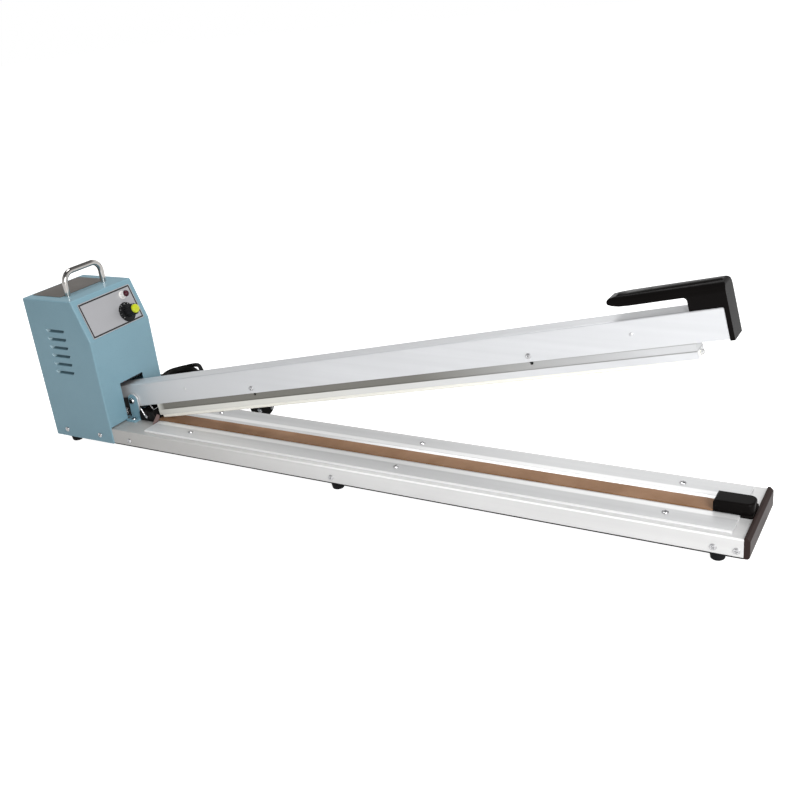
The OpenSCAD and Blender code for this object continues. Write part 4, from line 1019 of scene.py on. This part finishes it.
# %% Hinge ears and pin
ears, rims = [], []
ear_x, ear_z, ear_r, ear_in, ear_out, edge_r = pivot.x + 2.5, 66, 9.5, 14.6, 16.8, 0.35
for side in (-1, 1):
    line = ([(pivot.x - 17, deck_z), (pivot.x + 12, deck_z)]
            + arc(ear_x, ear_z, ear_r, 0, 180, 16) + [(pivot.x - 7, 38), (pivot.x - 17, 38)])
    ear = side_prism(line, side * ear_in, side * ear_out)
    outer = [e for e in ear.edges if all(abs(v.co.y) > ear_out - 0.1 for v in e.verts)]
    round_off(ear, outer, edge_r, 2)
    y0, y1 = sorted((side * ear_in, side * 29.6))
    flange = block((front_x + 1, y0, deck_z), (front_x + 21, y1, flange_z))
    upright = [e for e in flange.edges if abs(e.verts[0].co.z - e.verts[1].co.z) > 1]
    round_off(flange, upright, 2.5, 4)
    round_off(flange, edges_above(sharp_edges(flange), flange_z - 0.1), edge_r, 2)
    ears += [ear, flange]
    band = ([(pivot.x + 12.2, 50)] + arc(ear_x, ear_z, ear_r + 0.2, 0, 150, 16)
            + arc(ear_x, ear_z, ear_r - 0.7, 150, 0, 16) + [(pivot.x + 11.3, 50)])
    rims.append(side_prism(band, side * (ear_in + 0.05), side * (ear_out + 0.15)))
even_shading(piece(join(ears), "hinge_ears", "base", "painted_steel",
                   ["near_hinge_bracket", "far_hinge_bracket"]))
piece(join(rims), "ear_rims", "base", "plate_aluminium")
half_pin = [(3.4, 16.85), (5.2, 16.85), (5.2, 17.2), (4.6, 18.6), (3.9, 19.4), (3.2, 19.4),
            (3.0, 16.9), (0, 16.9)]
pin = turn([(r, -z) for r, z in reversed(half_pin)] + half_pin, 32)
piece(put(pin, facing(*pivot, "X", 90)), "hinge_rivet_pin", "base", "bright_steel",
      ["hinge_pin"], 30)

# %% [markdown]
# ### Terminal block
#
# In front of the ears stands the black block that holds the ribbon's hinge end, with a slot for the
# tensioning lever. The taped end of the sealing cloth is folded down beside it.

# %% Terminal block and taped end
block_x = front_x + 21.3
body = side_prism([(block_x, deck_z), (block_x + 29, deck_z), (block_x + 29, 46.5),
                   (block_x + 25, 51.5), (block_x + 3, 51.5), (block_x, 48.5)], -19, 19)
round_off(body, sharp_edges(body), 0.9, 3)
body = carved(body, block((block_x + 8, -5, 37.5), (block_x + 40, 5, 60)))
even_shading(piece(body, "terminal_block", "base", "bakelite", ["hinge_terminal"]))
fold = [(-9.3, 43.5), (-13, 46), (-23.5, 39.8), (-28, 36.6), (-28, 35.7), (-20, 35.7), (-12.5, 39)]
flap = pull(outline([(block_x + 29.2 + 0.35 * (46 - z), y, z) for y, z in fold]), (0.5, 0, 0.1))
piece(flap, "tape_end", "base", "tape_brown")

# %% [markdown]
# ## Room and light
#
# The floor has a plain glow that only the camera and reflections meet, so it runs into the white
# backdrop. Under the casing a mask takes the glow away, and the gap there stays dark.

# %% Floor
def mirror_rays(path):
    return maths(path.id_data, "MAXIMUM", path.outputs["Is Glossy Ray"],
                 path.outputs["Is Transmission Ray"])


def white_for_sight(tree, shaded, seen, mirrored, mask):
    """Adds a plain white glow that only the camera (seen) and reflections (mirrored) meet."""
    path = add(tree, "LightPath")
    level = ramp(tree, mirror_rays(path), to=(0.0, mirrored))
    level = mixed(tree, path.outputs["Is Camera Ray"], level, seen, "FLOAT")
    glow = add(tree, "Emission", {"Strength": maths(tree, "MULTIPLY", level, mask)})
    return add(tree, "AddShader", {0: shaded, 1: glow.outputs[0]}).outputs[0]


floor_material = bpy.data.materials.new("floor")
floor_material.use_nodes = True
tree = floor_material.node_tree
tree.nodes.clear()
ground = add(tree, "TexCoord").outputs["Object"]
grain = noise(tree, ground, 3.0)
under_casing = box_mask(tree, ground, (casing_mid, 11, 0), (55.5, 44, None), 3)
outside_casing = ramp(tree, under_casing, to=(1.0, 0.0))
matt = add(tree, "BsdfDiffuse", {"Color": ramp(tree, grain, to=(0.54, 0.56))})
floor_out = tree.nodes.new("ShaderNodeOutputMaterial")
tree.links.new(white_for_sight(tree, matt.outputs[0], 0.95, 0.55, outside_casing),
               floor_out.inputs["Surface"])
floor_bm = bmesh.new()
bmesh.ops.create_grid(floor_bm, x_segments=1, y_segments=1, size=12)
floor = show("floor", mesh_of(floor_bm, "floor"))
floor.location.z = -0.0005
floor.data.materials.append(floor_material)
print("floor:", [round(size, 1) for size in floor.dimensions[:2]], "m")

# %% [markdown]
# ### The white room
#
# The world is plain white to the camera and dimmer as a lamp. Reflections see a third version,
# pale at the horizon, darker above and broken by soft blotches, so that metal has something to
# mirror.

# %% World
world = bpy.data.worlds.new("white room")
bpy.context.scene.world = world
world.use_nodes = True
tree = world.node_tree
tree.nodes.clear()
path = add(tree, "LightPath")
toward = add(tree, "TexCoord").outputs["Generated"]
height = add(tree, "SeparateXYZ", {0: toward}).outputs["Z"]
patches = noise(tree, toward, 2.4, 1.0)
room = maths(tree, "MULTIPLY", ramp(tree, height, (0.12, 0.75), (1.0, 0.16)),
             ramp(tree, patches, (0.44, 0.56), (0.45, 1.1)))
soft = ramp(tree, height, to=(0.46, 0.34))
level = mixed(tree, mirror_rays(path), soft, room, "FLOAT")
level = mixed(tree, path.outputs["Is Camera Ray"], level, 1.0, "FLOAT")
sky = add(tree, "Background", {"Strength": level}, Color=(1, 1, 1, 1))
world_out = tree.nodes.new("ShaderNodeOutputWorld")
tree.links.new(sky.outputs[0], world_out.inputs["Surface"])
print("world:", len(tree.nodes), "nodes")

# %% [markdown]
# ### Three lamps
#
# The key lamp stands beyond the free end, so the near side brightens from left to right. One broad
# lamp hangs overhead, and a weak one behind lights the far edges.

# %% Lamps
def lamp(name, place, target, size, watts):
    data = bpy.data.lights.new(name, "AREA")
    data.shape, data.size, data.energy = "DISK", size, watts
    way = Vector(target) - Vector(place)
    obj = show(name, data)
    obj.matrix_world = moved(*place) @ way.to_track_quat("-Z", "Y").to_matrix().to_4x4()


lamp("key", (1.5, -0.98, 0.73), (0.0, 0.0, 0.1), 1.1, 32)
lamp("overhead", (-0.5, 0.35, 2.4), (0.0, 0.0, 0.1), 1.0, 24)
lamp("back", (0.0, 1.9, 1.1), (0.1, 0.0, 0.0), 1.8, 4)
scene = bpy.context.scene
scene.view_settings.view_transform = "Standard"
